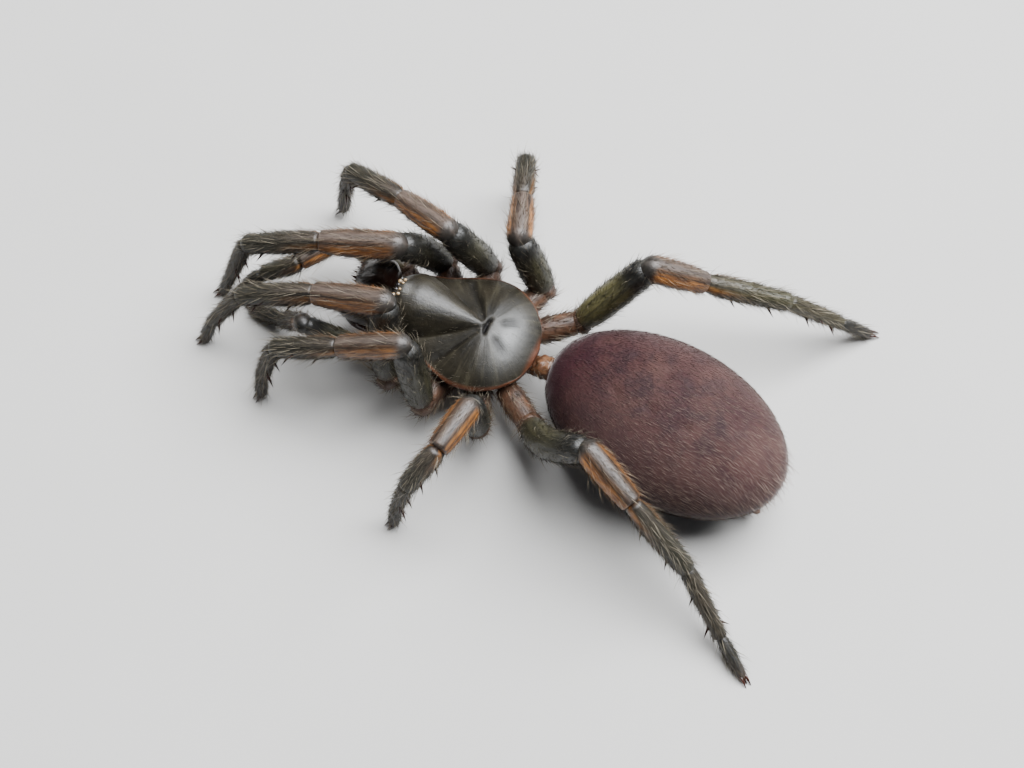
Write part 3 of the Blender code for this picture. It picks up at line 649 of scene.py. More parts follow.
def spine_tree():
    """Spines on points: each stands along its lean, tapers to a tip and bends in its away."""
    tree = bpy.data.node_groups.new("spines_on_points", "GeometryNodeTree")
    tree.is_modifier = True
    name_sockets(tree, ("INPUT", "Geometry", "Roots"), ("INPUT", "Float", *SPINE_SIZES),
                 ("INPUT", "Int", "Sides", "Seed"), ("INPUT", "Material", "Finish"),
                 ("OUTPUT", "Geometry", "Spines"))
    given = add(tree, "NodeGroupInput").outputs
    cone = add(tree, "GeometryNodeMeshCone", {
        "Vertices": given["Sides"], "Side Segments": 7, "Fill Segments": 1, "Radius Top": 0.0,
        "Radius Bottom": given["Thickness"], "Depth": given["Length"]}, fill_type="NGON")
    spot = add(tree, "GeometryNodeInputPosition").outputs[0]
    parts = add(tree, "ShaderNodeSeparateXYZ", {0: spot}).outputs
    height = sums(tree, "DIVIDE", parts[2], given["Length"])
    belly = sums(tree, "MULTIPLY", sums(tree, "MULTIPLY", height, given["Fullness"]),
                 sums(tree, "SUBTRACT", 1.0, height))
    reach = sums(tree, "MULTIPLY", given["Curve"], given["Length"])
    bend = sums(tree, "MULTIPLY", sums(tree, "MULTIPLY", height, height), reach)
    aside = sums(tree, "ADD", sums(tree, "MULTIPLY", parts[0], belly), bend)
    move = add(tree, "ShaderNodeCombineXYZ", {0: aside, 1: sums(tree, "MULTIPLY", parts[1], belly)})
    shaped = add(tree, "GeometryNodeSetPosition", {
        "Geometry": cone.outputs["Mesh"], "Offset": move.outputs[0]}).outputs[0]
    turn = add(tree, "FunctionNodeAxesToRotation", {
        "Primary Axis": named(tree, "lean", "FLOAT_VECTOR"),
        "Secondary Axis": named(tree, "away", "FLOAT_VECTOR")},
        primary_axis="Z", secondary_axis="X").outputs["Rotation"]
    change = random_value(tree, -1.0, 1.0, given["Seed"])
    change = sums(tree, "ADD", 1.0, sums(tree, "MULTIPLY", change, given["Variation"]))
    size = sums(tree, "MULTIPLY", named(tree, "size"), change)
    placed = add(tree, "GeometryNodeInstanceOnPoints", {
        "Points": given["Roots"], "Instance": shaped, "Rotation": turn, "Scale": size}).outputs[0]
    plain = add(tree, "GeometryNodeRealizeInstances", {0: placed}).outputs[0]
    done = add(tree, "GeometryNodeSetMaterial", {0: plain, "Material": given["Finish"]})
    add(tree, "NodeGroupOutput", {0: done.outputs[0]})


def set_spines(name, roots, leans, away, size, finish, seed, sizes):
    """Spines of these sizes on these roots."""
    mesh = bpy.data.meshes.new(name + "_roots")
    mesh.from_pydata(((np.array(roots) + SHIFT) * MM).tolist(), [], [])
    for key, rows in (("lean", unit(leans)), ("away", unit(away))):
        mesh.attributes.new(key, "FLOAT_VECTOR", "POINT").data.foreach_set("vector", rows.ravel())
    mesh.attributes.new("size", "FLOAT", "POINT").data.foreach_set("value", np.array(size, float))
    inputs = {"Sides": SPINE_SIDES, "Seed": seed, "Finish": finish}
    for key, unit_of_size, value in zip(SPINE_SIZES, (MM, MM, 1.0, 1.0, 1.0), sizes):
        inputs[key] = float(value * unit_of_size)
    made = run_tree(mesh, "spines_on_points", name, inputs)
    return as_piece(made, ("lean", "away", "size"))


# Finishes


def new_finish(name, roughness=0.4, **sockets):
    material = bpy.data.materials.new(name)
    material.use_nodes = True
    tree = material.node_tree
    shader = tree.nodes["Principled BSDF"]
    shader.inputs["Roughness"].default_value = roughness
    for key, value in sockets.items():
        shader.inputs[key.replace("_", " ")].default_value = value
    return material, tree, shader


def blend(tree, amount, first, second):
    """The first colour turned into the second by this amount."""
    made = add(tree, "ShaderNodeMix", {0: amount, 6: first, 7: second}, data_type="RGBA")
    return made.outputs[2]


def attribute(tree, name, output="Fac"):
    return add(tree, "ShaderNodeAttribute", attribute_name=name).outputs[output]


def share_of(tree, name, factor):
    """A value of the skin, weakened by this factor."""
    return sums(tree, "MULTIPLY", attribute(tree, name), factor)


def weighted(tree, *pairs):
    """Heights added up, each times its weight."""
    total = 0.0
    for value, weight in pairs:
        total = sums(tree, "ADD", total, sums(tree, "MULTIPLY", value, weight))
    return total


def clouded(tree, cloud, dark, light, low=0.3, high=0.7):
    """A colour between two, after a cloud of random values."""
    return blend(tree, spread(tree, cloud, low, high), (*dark, 1), (*light, 1))


def noise(tree, vector, scale, detail=3.0, roughness=0.55, stretch=(1, 1, 1)):
    """Soft random values from 0 to 1 at this many to the millimetre."""
    mapped = add(tree, "ShaderNodeMapping", {"Vector": vector, "Scale": stretch})
    made = add(tree, "ShaderNodeTexNoise", {
        "Vector": mapped.outputs[0], "Scale": scale, "Detail": detail, "Roughness": roughness})
    return made.outputs["Fac"]


def spread(tree, value, low, high, to_low=0.0, to_high=1.0):
    """Stretches this part of a value's range to another range, clamped."""
    made = add(tree, "ShaderNodeMapRange", {
        "Value": value, "From Min": low, "From Max": high, "To Min": to_low, "To Max": to_high})
    return made.outputs["Result"]


def bumped(tree, shader, height, strength, distance):
    made = add(tree, "ShaderNodeBump", {
        "Height": height, "Strength": strength, "Distance": distance * MM})
    tree.links.new(made.outputs[0], shader.inputs["Normal"])


def object_place(tree):
    """Object coordinates in millimetres."""
    spot = add(tree, "ShaderNodeTexCoord").outputs["Object"]
    return add(tree, "ShaderNodeMapping", {"Vector": spot, "Scale": (1 / MM,) * 3}).outputs[0]


def leg_colour(tree, grain):
    """The markings of a limb, shared by its skin and its bristles."""
    streak = noise(tree, grain, 5.5, 5.0, 0.65, (0.1, 1, 1))
    blotch = noise(tree, grain, 1.3, 3.0)
    colour = clouded(tree, blotch, (0.0035, 0.0035, 0.003), (0.011, 0.0105, 0.008))
    green = clouded(tree, streak, (0.03, 0.03, 0.013), (0.2, 0.18, 0.075))
    colour = blend(tree, attribute(tree, "green"), colour, green)
    dusk = clouded(tree, streak, (0.04, 0.026, 0.02), (0.17, 0.125, 0.1))
    colour = blend(tree, attribute(tree, "dusk"), colour, dusk)
    ruddy = clouded(tree, blotch, (0.018, 0.008, 0.005), (0.13, 0.056, 0.026))
    colour = blend(tree, attribute(tree, "ruddy"), colour, ruddy)
    warm = share_of(tree, "amber", spread(tree, streak, 0.3, 0.55, 0.25))
    amber = clouded(tree, streak, (0.13, 0.04, 0.008), (0.55, 0.22, 0.04), 0.35)
    colour = blend(tree, warm, colour, amber)
    return blend(tree, attribute(tree, "line"), colour, (0.006, 0.004, 0.003, 1)), streak


def leg_cuticle():
    material, tree, shader = new_finish("leg_cuticle", 0.32, Coat_Weight=0.15, Coat_Roughness=0.25)
    grain = attribute(tree, "grain", "Vector")
    colour, streak = leg_colour(tree, grain)
    tree.links.new(colour, shader.inputs["Base Color"])
    fine = noise(tree, grain, 16.0, 3.0, 0.6, (0.35, 1, 1))
    tree.links.new(spread(tree, fine, 0.2, 0.8, 0.33, 0.6), shader.inputs["Roughness"])
    bumped(tree, shader, weighted(tree, (streak, 1.0), (fine, 0.5)), 0.55, 0.05)
    return material


def leg_bristle():
    material, tree, shader = new_finish("leg_bristle", 0.5)
    shader.inputs["Specular IOR Level"].default_value = 0.3
    grain = attribute(tree, "grain", "Vector")
    colour, _ = leg_colour(tree, grain)
    fair = blend(tree, attribute(tree, "tone"), (0.14, 0.11, 0.07, 1), (0.62, 0.54, 0.4, 1))
    share = share_of(tree, "pale", spread(tree, attribute(tree, "tip"), 0, 1, 0.45))
    tree.links.new(blend(tree, share, colour, fair), shader.inputs["Base Color"])
    return material


def horn():
    """Claws, fangs and spines: near black, clouded with a dark red."""
    material, tree, shader = new_finish("dark_horn", 0.22, Coat_Weight=0.4, Coat_Roughness=0.12)
    place = object_place(tree)
    cloud = noise(tree, place, 2.2)
    colour = blend(tree, cloud, (0.008, 0.004, 0.003, 1), (0.06, 0.014, 0.007, 1))
    tree.links.new(colour, shader.inputs["Base Color"])
    bumped(tree, shader, noise(tree, place, 14.0), 0.3, 0.02)
    return material


def shell_gloss():
    material, tree, shader = new_finish("shell_gloss", 0.4, Coat_Roughness=0.34)
    gleam = attribute(tree, "gleam")
    tree.links.new(spread(tree, gleam, 0, 1, 0.17, 0.68), shader.inputs["Specular IOR Level"])
    tree.links.new(spread(tree, gleam, 0, 1, 0.03, 0.22), shader.inputs["Coat Weight"])
    place = object_place(tree)
    cloud = noise(tree, place, 0.7, 4.0)
    fine = noise(tree, place, 14.0, 4.0, 0.65)
    rays = noise(tree, attribute(tree, "ray", "Vector"), 1.0, 4.0, 0.6)
    colour = clouded(tree, cloud, (0.007, 0.006, 0.004), (0.022, 0.018, 0.011))
    colour = blend(tree, spread(tree, rays, 0.5, 0.72, 0.0, 0.7), colour, (0.05, 0.044, 0.028, 1))
    # the pale grey of the lobe behind the pit is a painted highlight
    colour = blend(tree, share_of(tree, "lobe", 0.85), colour, (0.17, 0.172, 0.168, 1))
    # painted shade: the pit and the grooves are darkened by their depth
    groove_shade = spread(tree, attribute(tree, "groove"), 0.0, 0.55)
    colour = blend(tree, groove_shade, colour, (0.003, 0.0025, 0.002, 1))
    rim = clouded(tree, cloud, (0.035, 0.011, 0.006), (0.13, 0.045, 0.02))
    colour = blend(tree, attribute(tree, "ruddy"), colour, rim)
    tree.links.new(colour, shader.inputs["Base Color"])
    tree.links.new(spread(tree, fine, 0.25, 0.75, 0.36, 0.56), shader.inputs["Roughness"])
    crinkle = noise(tree, place, 3.0, 5.0, 0.62)
    bumped(tree, shader, weighted(tree, (crinkle, 0.7), (rays, 0.9), (fine, 0.5)), 0.7, 0.07)
    return material


def chelicera_gloss():
    material, tree, shader = new_finish("chelicera_gloss", 0.28, Coat_Weight=0.35,
                                        Coat_Roughness=0.15)
    place = object_place(tree)
    cloud = noise(tree, place, 1.0, 4.0)
    colour = clouded(tree, cloud, (0.006, 0.0035, 0.003), (0.03, 0.011, 0.007))
    tree.links.new(colour, shader.inputs["Base Color"])
    bumped(tree, shader, noise(tree, place, 9.0, 4.0), 0.4, 0.04)
    return material


def abdomen_colour(tree, place):
    """Dusky plum brown with darker blotches, painted sheen on the upper sides and rear, painted
    shade below.
    """
    cloud = noise(tree, place, 0.3, 4.0, 0.55)
    mottle = noise(tree, place, 0.9, 4.0, 0.6)
    speck = noise(tree, place, 7.0, 2.0, 0.5)
    colour = clouded(tree, cloud, (0.03, 0.01, 0.0115), (0.058, 0.027, 0.023), 0.38, 0.62)
    for amount, paint in (
        (spread(tree, mottle, 0.45, 0.62, 0.0, 0.7), (0.016, 0.008, 0.011, 1)),
        (spread(tree, speck, 0.55, 0.75, 0.0, 0.35), (0.1, 0.058, 0.05, 1)),
        # painted sheen on the upper flanks and the rear
        (share_of(tree, "bloom", 0.5), (0.1, 0.058, 0.056, 1)),
        (share_of(tree, "front", 0.7), (0.032, 0.008, 0.013, 1)),
        # painted shade on the underside and the lower flanks
        (attribute(tree, "shade"), (0.008, 0.0035, 0.004, 1)),
        (attribute(tree, "lungs"), (0.2, 0.13, 0.09, 1)),
    ):
        colour = blend(tree, amount, colour, paint)
    return colour, mottle, speck


def abdomen_velvet():
    material, tree, shader = new_finish("abdomen_velvet", 0.62, Sheen_Weight=0.75,
                                        Sheen_Roughness=0.25)
    shader.inputs["Sheen Tint"].default_value = (0.9, 0.84, 0.83, 1)
    shader.inputs["Specular IOR Level"].default_value = 0.12
    place = object_place(tree)
    colour, mottle, speck = abdomen_colour(tree, place)
    tree.links.new(colour, shader.inputs["Base Color"])
    nap = noise(tree, attribute(tree, "grain", "Vector"), 15.0, 3.0, 0.6, (1, 0.3, 1))
    bumped(tree, shader, weighted(tree, (mottle, 0.5), (nap, 0.9), (speck, 0.4)), 0.4, 0.035)
    return material


def abdomen_bristle():
    material, tree, shader = new_finish("abdomen_bristle", 0.6)
    shader.inputs["Specular IOR Level"].default_value = 0.25
    place = object_place(tree)
    colour, _, _ = abdomen_colour(tree, place)
    gold = blend(tree, attribute(tree, "tone"), (0.1, 0.055, 0.04, 1), (0.55, 0.42, 0.34, 1))
    share = share_of(tree, "pale", spread(tree, attribute(tree, "tip"), 0, 0.6, 0.2))
    share = sums(tree, "MULTIPLY", share, attribute(tree, "fair"))
    tree.links.new(blend(tree, share, colour, gold), shader.inputs["Base Color"])
    return material


def soft_hide(name, dark, light, roughness):
    """Soft skin of the waist, the underside and the spinnerets."""
    material, tree, shader = new_finish(name, roughness)
    place = object_place(tree)
    cloud = noise(tree, place, 2.4, 4.0, 0.6)
    tree.links.new(clouded(tree, cloud, dark, light), shader.inputs["Base Color"])
    bumped(tree, shader, noise(tree, place, 10.0, 3.0), 0.5, 0.05)
    return material


def eye_lens():
    material, tree, shader = new_finish("eye_lens", 0.08, Coat_Weight=1.0, Coat_Roughness=0.03)
    dark = attribute(tree, "dark")
    rim = attribute(tree, "rim")
    place = object_place(tree)
    pearl = blend(tree, noise(tree, place, 6.0), (0.22, 0.11, 0.04, 1), (0.5, 0.38, 0.22, 1))
    colour = blend(tree, dark, pearl, (0.012, 0.01, 0.012, 1))
    colour = blend(tree, rim, colour, (0.01, 0.008, 0.007, 1))
    tree.links.new(colour, shader.inputs["Base Color"])
    return material


# Front body


def carapace_top(x, y):
    """Height of the shell: a low thorax and a raised head."""
    width = along(OUTLINE, y)
    crown = along(CROWN, y)
    head_width = along(HEAD_WIDTH, y)
    thorax = MARGIN_HEIGHT + (crown - along(THORAX_DROP, y) - MARGIN_HEIGHT) * (
        np.maximum(0, 1 - np.abs(x / width) ** 2.4) ** 0.75
    )
    head = MARGIN_HEIGHT + (crown - MARGIN_HEIGHT) * np.sqrt(
        np.maximum(0, 1 - (x / head_width) ** 2)
    )
    height = np.where(y < 0, np.maximum(thorax, head), thorax)
    mound = np.exp(-((x / EYE_MOUND_WIDTH) ** 4)) * hill(y, EYE_MOUND_PLACE, EYE_MOUND_LENGTH)
    return height + EYE_MOUND * mound


def groove_depth(x, y):
    """The pit and the grooves that run out from it, as a depth share from 0 to 1."""
    pit = np.exp(-((x / 0.5) ** 4) - (((y - 0.1 * (x / 0.5) ** 2) / 0.13) ** 2))
    depth = pit.copy()
    side = np.abs(x)
    for bearing, start, end, width, strength in GROOVES:
        b = math.radians(bearing)
        ahead = np.array([math.sin(b), math.cos(b)])
        off = side * ahead[1] - y * ahead[0]
        on = side * ahead[0] + y * ahead[1]
        line = np.exp(-((off / (width * (0.6 + 0.25 * on))) ** 2))
        ends = ease(start - 0.25, start + 0.25, on) * (1 - ease(end - 0.9, end, on))
        depth = np.maximum(depth, line * ends * strength)
    return depth


def make_carapace(finish):
    stations = np.concatenate([
        CARAPACE_FRONT + (1 - np.cos(np.linspace(0, math.pi / 2, 14))) * 0.35,
        np.linspace(CARAPACE_FRONT + 0.42, CARAPACE_REAR - 0.25, 120),
        CARAPACE_REAR - 0.2 + np.sin(np.linspace(0, math.pi / 2, 10)) * 0.2])
    across = np.sin(np.linspace(-math.pi / 2, math.pi / 2, SHELL_TOP_POINTS))
    under = np.linspace(0.93, -0.93, SHELL_UNDER_POINTS)
    rings, grooves, rims = [], [], []
    for y in stations:
        width = along(OUTLINE, y)
        x = across * width
        line = np.full(SHELL_TOP_POINTS, y)
        depth = groove_depth(x, line)
        z = carapace_top(x, line) - GROOVE_DEPTH * depth
        lip = hill(np.abs(across), 0.985, 0.035)
        top = np.stack([x, line, z + 0.05 * lip], 1)
        sag = np.minimum(1, (1 - np.abs(under)) * 6)
        low = np.stack([under * width, under * 0 + y, CARAPACE_UNDERSIDE + 0.1 * (1 - sag)], 1)
        rings.append(np.vstack([top, low]))
        grooves.append(np.concatenate([depth, under * 0]))
        rims.append(np.concatenate([ease(0.93, 1.0, np.abs(across)), under * 0 + 1]))
    rings = np.array(rings)
    grooves, rims = np.array(grooves), np.array(rims)
    x, y = rings[..., 0], rings[..., 1]
    ends = ease(CARAPACE_REAR - 0.35, CARAPACE_REAR, y)
    lie = np.zeros(rings.shape)
    lie[..., 1] = -1.0
    lie[..., 0] = x * 0.12
    ridge = hill(x, 0, 0.4) * (y < 0.5)
    edge = ease(0.86, 0.97, np.abs(x) / along(OUTLINE, y))
    upper = rings[..., 2] > MARGIN_HEIGHT - 0.1
    # fine lines run out from the pit: many across, few along
    bearing = np.arctan2(x, y)
    ray = np.stack([np.cos(bearing) * 9, np.sin(bearing) * 9, np.hypot(x, y) * 0.5], 2)
    # the smooth lobe behind the pit, whose pale grey is a painted highlight, the crest of the head
    # and the ground round the pit shine more than the rest
    lobe = hill(x, 0, 1.5) * hill(y, 1.35, 0.75)
    crest = hill(x, 0, 0.35 - 0.11 * y.clip(max=0)) * ease(0.3, -0.2, y)
    gleam = np.maximum(np.maximum(crest, lobe), hill(np.hypot(x, y - 0.2), 0, 1.1))
    gleam = gleam * (1 - 0.9 * np.minimum(1, grooves * 1.6))
    skin = Skin("carapace_shell")
    skin.add_shell(rings, (0, CARAPACE_FRONT - 0.06, 4.3), (0, CARAPACE_REAR + 0.03, 3.7),
                   groove=grooves, ruddy=np.maximum(rims, ends), lie=lie, grain=rings, ray=ray,
                   short_coat=(0.25 + ridge * 0.5 + edge) * upper, short_reach=1.0,
                   long_coat=(ridge * 0.6 + edge * 0.8) * upper, long_reach=1.0,
                   lobe=lobe, gleam=gleam)
    shell = skin.make(finish)
    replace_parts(shell, "carapace")
    return shell


def make_eyes(finish):
    skin = Skin("eyes")
    tilt = np.linspace(-math.pi / 2, math.pi / 2, EYE_RINGS + 2)[1:-1]
    angle = np.arange(EYE_SIDES) * 2 * math.pi / EYE_SIDES
    ball = np.stack([np.outer(np.cos(tilt), np.cos(angle)),
                     np.outer(np.cos(tilt), np.sin(angle)),
                     np.outer(np.sin(tilt), np.ones(EYE_SIDES))], 2)
    rim = 1 - ease(-0.35, 0.0, ball[..., 2] - ball[..., 1] * 0.6)
    for row, (x, y, radius) in enumerate(EYE_ROWS):
        for _, side in SIDES:
            height = float(carapace_top(np.array(x), np.array(y)))
            centre = np.array([side * x, y - EYE_LEAD, height + EYE_LEAD])
            # the eyes of the first row are dark, the others pearly
            skin.add_shell(centre + ball * radius, centre - (0, 0, radius),
                           centre + (0, 0, radius), dark=float(row == 0), rim=rim)
    eyes = skin.make(finish)
    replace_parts(eyes, *[f"eye_{name}_{side}" for name in EYE_NAMES for side, _ in SIDES])


def make_plate(node, finish):
    """A plate of the underside with softened edges and shallow dimples."""
    half_width, length, levels, power, dimples = PLATES[node]
    middle = (length[0] + length[1]) / 2
    reach = (length[1] - length[0]) / 2
    angle = np.arange(PLATE_SIDES) * 2 * math.pi / PLATE_SIDES
    cosine = np.sign(np.cos(angle)) * np.abs(np.cos(angle)) ** (2 / power)
    sine = np.sign(np.sin(angle)) * np.abs(np.sin(angle)) ** (2 / power)
    height = levels[1] - levels[0]
    outline = [(share, levels[0] + 0.02 * height) for share in np.linspace(0.06, 0.74, 14)]
    outline += [(0.86, levels[0] + height * 0.06), (0.95, levels[0] + height * 0.15),
                (1.0, levels[0] + height * 0.35), (1.0, levels[0] + height * 0.6),
                (0.96, levels[0] + height * 0.85), (0.85, levels[1] - 0.02)]
    rings = []
    for scale, level in outline:
        x = cosine * half_width * scale
        y = middle + sine * reach * scale
        z = np.full(PLATE_SIDES, level)
        if level < levels[0] + 0.1 * height:
            for dx, dy in dimples:
                z = z + 0.07 * hill(np.abs(x), dx, 0.14) * hill(y, dy, 0.22)
        rings.append(np.stack([x, y, z], 1))
    skin = Skin(node + "_plate")
    skin.add_shell(rings, (0, middle, levels[0] + 0.02), (0, middle, levels[1]))
    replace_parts(skin.make(finish), node)


def make_chelicera(side_name, side, finish):
    """The swollen base of a fang, with low wrinkles."""
    x = side * CHELICERA_SIDE
    rear, front_end = CHELICERA_ENDS
    shape = np.array(CHELICERA_RINGS)[::-1]
    turn = np.linspace(0, math.pi, CHELICERA_CUTS)
    y = shape[-1, 0] - (1 - np.cos(turn)) / 2 * (shape[-1, 0] - shape[0, 0])
    sizes = [along(shape[:, (0, k)], y) for k in (1, 2, 3)]
    angle = (np.arange(CHELICERA_SIDES) / CHELICERA_SIDES * 2 - 1) * math.pi
    rings = np.zeros((CHELICERA_CUTS, CHELICERA_SIDES, 3))
    ripple = 1 + 0.012 * np.sin(9 * angle)[None] * hill(y, -7.0, 0.8)[:, None]
    rings[..., 0] = x + np.sin(angle) * sizes[0][:, None] * ripple
    rings[..., 1] = y[:, None]
    rings[..., 2] = sizes[1][:, None] + np.cos(angle) * sizes[2][:, None] * ripple
    top = ease(0.2, 0.8, np.cos(angle))[None]
    front = (1 - ease(-7.9, -6.6, y))[:, None]
    skin = Skin(f"chelicera_{side_name}_base")
    skin.add_shell(rings, (x, *rear), (x, *front_end), lie=(0, -1, -0.3),
                   short_coat=np.maximum(top * 0.7, front * 0.8),
                   long_coat=front * (np.cos(angle) > -0.6)[None], grain=rings,
                   short_reach=1.0, long_reach=1.0)
    base = skin.make(finish)
    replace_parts(base, "chelicera_" + side_name)
    return base


def make_fang(side_name, side, finish):
    x = side * CHELICERA_SIDE
    line = np.array(FANG_RINGS)
    steps = np.arange(len(line))
    share = np.linspace(0, steps[-1], FANG_CUTS)
    y, z, radius = (along(np.stack([steps, line[:, k]], 1), share) for k in range(3))
    path = np.stack([np.full(FANG_CUTS, x), y, z], 1)
    radius[:6] *= np.sin(np.linspace(0.35, math.pi / 2, 6))
    rings, *_ = tube_rings(path, radius, radius, FANG_SIDES)
    skin = Skin(f"fang_{side_name}_blade")
    skin.add_shell(rings, path[0] + (0, 0.02, 0.05), path[-1] + (0, 0.06, 0.02))
    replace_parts(skin.make(finish), "fang_" + side_name)


# Limbs


def capped(share, profile, length, radius, rounding):
    """Radius factors along a segment, closed by a round end on each side."""
    factor = along(profile, share)
    low = (share - share[0]) * length / (radius * rounding[0])
    high = (share[-1] - share) * length / (radius * rounding[1])
    for inside in (low, high):
        factor = factor * np.sqrt(np.clip(1 - (1 - np.clip(inside, 0, 1)) ** 2, 0.0, 1))
    return factor


SEGMENTS = {
    "coxa": ((0, 0.85), (0.15, 0.98), (0.6, 1.05), (0.85, 1.0), (1, 0.94)),
    "trochanter": ((0, 0.95), (0.5, 1.06), (1, 0.95)),
    "femur": ((0, 0.72), (0.06, 0.82), (0.2, 0.97), (0.4, 1.02), (0.7, 1.0), (0.9, 0.93),
              (1, 0.86)),
    "patella": ((0, 0.94), (0.1, 1.0), (0.3, 1.05), (0.6, 1.03), (0.85, 0.93), (1, 0.84)),
    "tibia": ((0, 0.9), (0.05, 0.92), (0.12, 1.0), (0.35, 1.04), (0.6, 1.0), (0.85, 0.92),
              (1, 0.86)),
    "metatarsus": ((0, 0.95), (0.1, 1.02), (0.3, 1.0), (0.6, 0.93), (0.88, 0.86), (1, 0.84)),
    "tarsus": ((0, 0.9), (0.08, 1.0), (0.3, 1.05), (0.6, 1.0), (0.88, 0.9), (1, 0.8)),
    "palp_tarsus": ((0, 0.9), (0.1, 0.98), (0.35, 1.04), (0.65, 0.97), (0.88, 0.84), (1, 0.72)),
}
# How round the near and the far end of each segment are, from flat to a half ball
ROUNDING = {
    "coxa": (0.6, 0.35), "trochanter": (0.7, 0.7), "femur": (0.7, 0.8), "patella": (1.0, 0.22),
    "tibia": (0.5, 0.75), "metatarsus": (0.9, 0.2), "tarsus": (0.5, 0.8), "palp_tarsus": (0.6, 0.9),
}


# How far each segment of a limb runs past its near and its far joint, in shares of its radius
LEG_SEGMENTS = (("femur", 0.0, 0.12), ("patella", 0.68, 0.0), ("tibia", 0.3, 0.4),
                ("metatarsus", 0.45, 0.0), ("tarsus", 0.35, 0.0))
PALP_SEGMENTS = (("femur", 0.0, 0.12), ("patella", 0.68, 0.0), ("tibia", 0.3, 0.1),
                 ("palp_tarsus", 0.3, 0.0))
# Where the grain of the trochanter and of the femur starts, and how many strips the map has
TROCHANTER_GRAIN = 3.0
FEMUR_GRAIN = 4.0
MAP_STRIPS = 7
# Height of a segment to its width
TALLNESS = 1.03
# Dense short bristles, then sparse long hairs, for each segment
COAT_SHARE = {
    "coxa": (0.4, 0.8), "trochanter": (0.4, 1.0), "femur": (0.3, 0.35), "patella": (0.3, 0.4),
    "tibia": (0.8, 0.9), "metatarsus": (1.0, 1.0), "tarsus": (1.0, 0.9), "palp_tarsus": (1.0, 1.0),
}


def stripes(angle, middle, width):
    """A stripe on each side of the upper line of a segment."""
    return hill(np.abs(angle), middle, width)


def segment_marks(segment, share, angle, marks):
    """Amber, green, dusk, ruddy and dark line amounts over a segment."""
    amber_strength, green_strength, dusk_strength = marks
    amber = green = dusk = ruddy = line = 0.0
    upper = ease(-0.2, 0.7, np.cos(angle))
    crown = hill(angle, 0, 0.5)
    if segment in ("coxa", "trochanter"):
        ruddy = 0.75
        dusk = 0.35 * upper
    elif segment == "femur":
        green = green_strength * (1 - ease(0.6, 0.85, share)) * (0.45 + 0.55 * upper)
        ruddy = 0.6 * (1 - ease(0.02, 0.18, share))
    elif segment == "patella":
        body = ease(0.1, 0.24, share)
        amber = stripes(angle, 1.15, 0.5) * body * amber_strength
        amber *= 1 - 0.45 * ease(0.7, 1.0, share)
        dusk = dusk_strength * np.maximum(crown, 0.45 * upper)
        dusk *= 0.35 + 0.65 * ease(0.03, 0.16, share)
        line = stripes(angle, 0.62, 0.12) * body * 0.85
        line = np.maximum(line, stripes(angle, 1.12, 0.1) * ease(0.35, 0.7, share) * 0.5)
        ruddy = 0.35 * (1 - upper) * body
    elif segment == "tibia":
        fade = 1 - ease(0.05, 0.6, share)
        amber = stripes(angle, 1.15, 0.33) * fade * amber_strength * 0.5
        dusk = dusk_strength * 0.45 * crown * (1 - ease(0.1, 0.7, share))
        line = stripes(angle, 0.6, 0.14) * fade * 0.8
        green = 0.35 * green_strength * upper
    elif segment == "metatarsus":
        ruddy = 0.08
        green = 0.25 * green_strength
    else:
        ruddy = 0.2 * ease(0.5, 1.0, share)
    if segment in ("tibia", "tarsus", "palp_tarsus"):
        ruddy = np.maximum(ruddy, 0.4 * (1 - ease(0.0, 0.05, share)))
    return {key: np.clip(value, 0, 1) for key, value in
            (("amber", amber), ("green", green), ("dusk", dusk), ("ruddy", ruddy), ("line", line))}


def add_segment(skin, segment, start, end, radius, marks, strip, travelled, bow=(0, 0, 0),
                before=0.0, after=0.0):
    """One segment as a closed shell on a numbered strip of the map, running this far past its
    joints. Travelled is where its grain starts."""
    length = float(np.linalg.norm(end - start))
    ahead = (end - start) / length
    count = max(12, int((length + before + after) / LIMB_RING_STEP))
    # rings are closer together near the round ends
    even = np.linspace(0, 1, count)
    even = even - 0.11 * np.sin(2 * math.pi * even) / (2 * math.pi) * 5
    place = -before + (length + before + after) * even
    share = np.clip(place / length, 0, 1)
    path = start + ahead * place[:, None] + np.outer(np.sin(math.pi * share), bow)
    span = (place - place[0]) / (place[-1] - place[0])
    factor = capped(span, SEGMENTS[segment], place[-1] - place[0], radius, ROUNDING[segment])
    rings, angle, tangent, aside, upward = tube_rings(
        path, radius * factor, radius * factor * TALLNESS, LIMB_SIDES)
    marked = segment_marks(segment, span[:, None], angle, marks)
    grain = np.stack([np.broadcast_to((travelled + place)[:, None], aside.shape), aside, upward], 2)
    short, long = COAT_SHARE[segment]
    ends = ease(0.02, 0.1, span) * (1 - ease(0.93, 0.99, span))
    low = ease(0.15, 0.5, rings[..., 2])
    coat = ends[:, None] * low
    edge = 0.75 + 0.25 * ease(0.3, -0.5, np.cos(angle))
    skin.add_shell(
        rings, path[0] - tangent[0] * 0.004, path[-1] + tangent[-1] * 0.004,
        place=(strip / MAP_STRIPS, (strip + 1) / MAP_STRIPS), grain=grain, lie=tangent[:, None],
        short_coat=coat * short, long_coat=coat * long * edge, short_reach=1.0, long_reach=1.0,
        **marked)


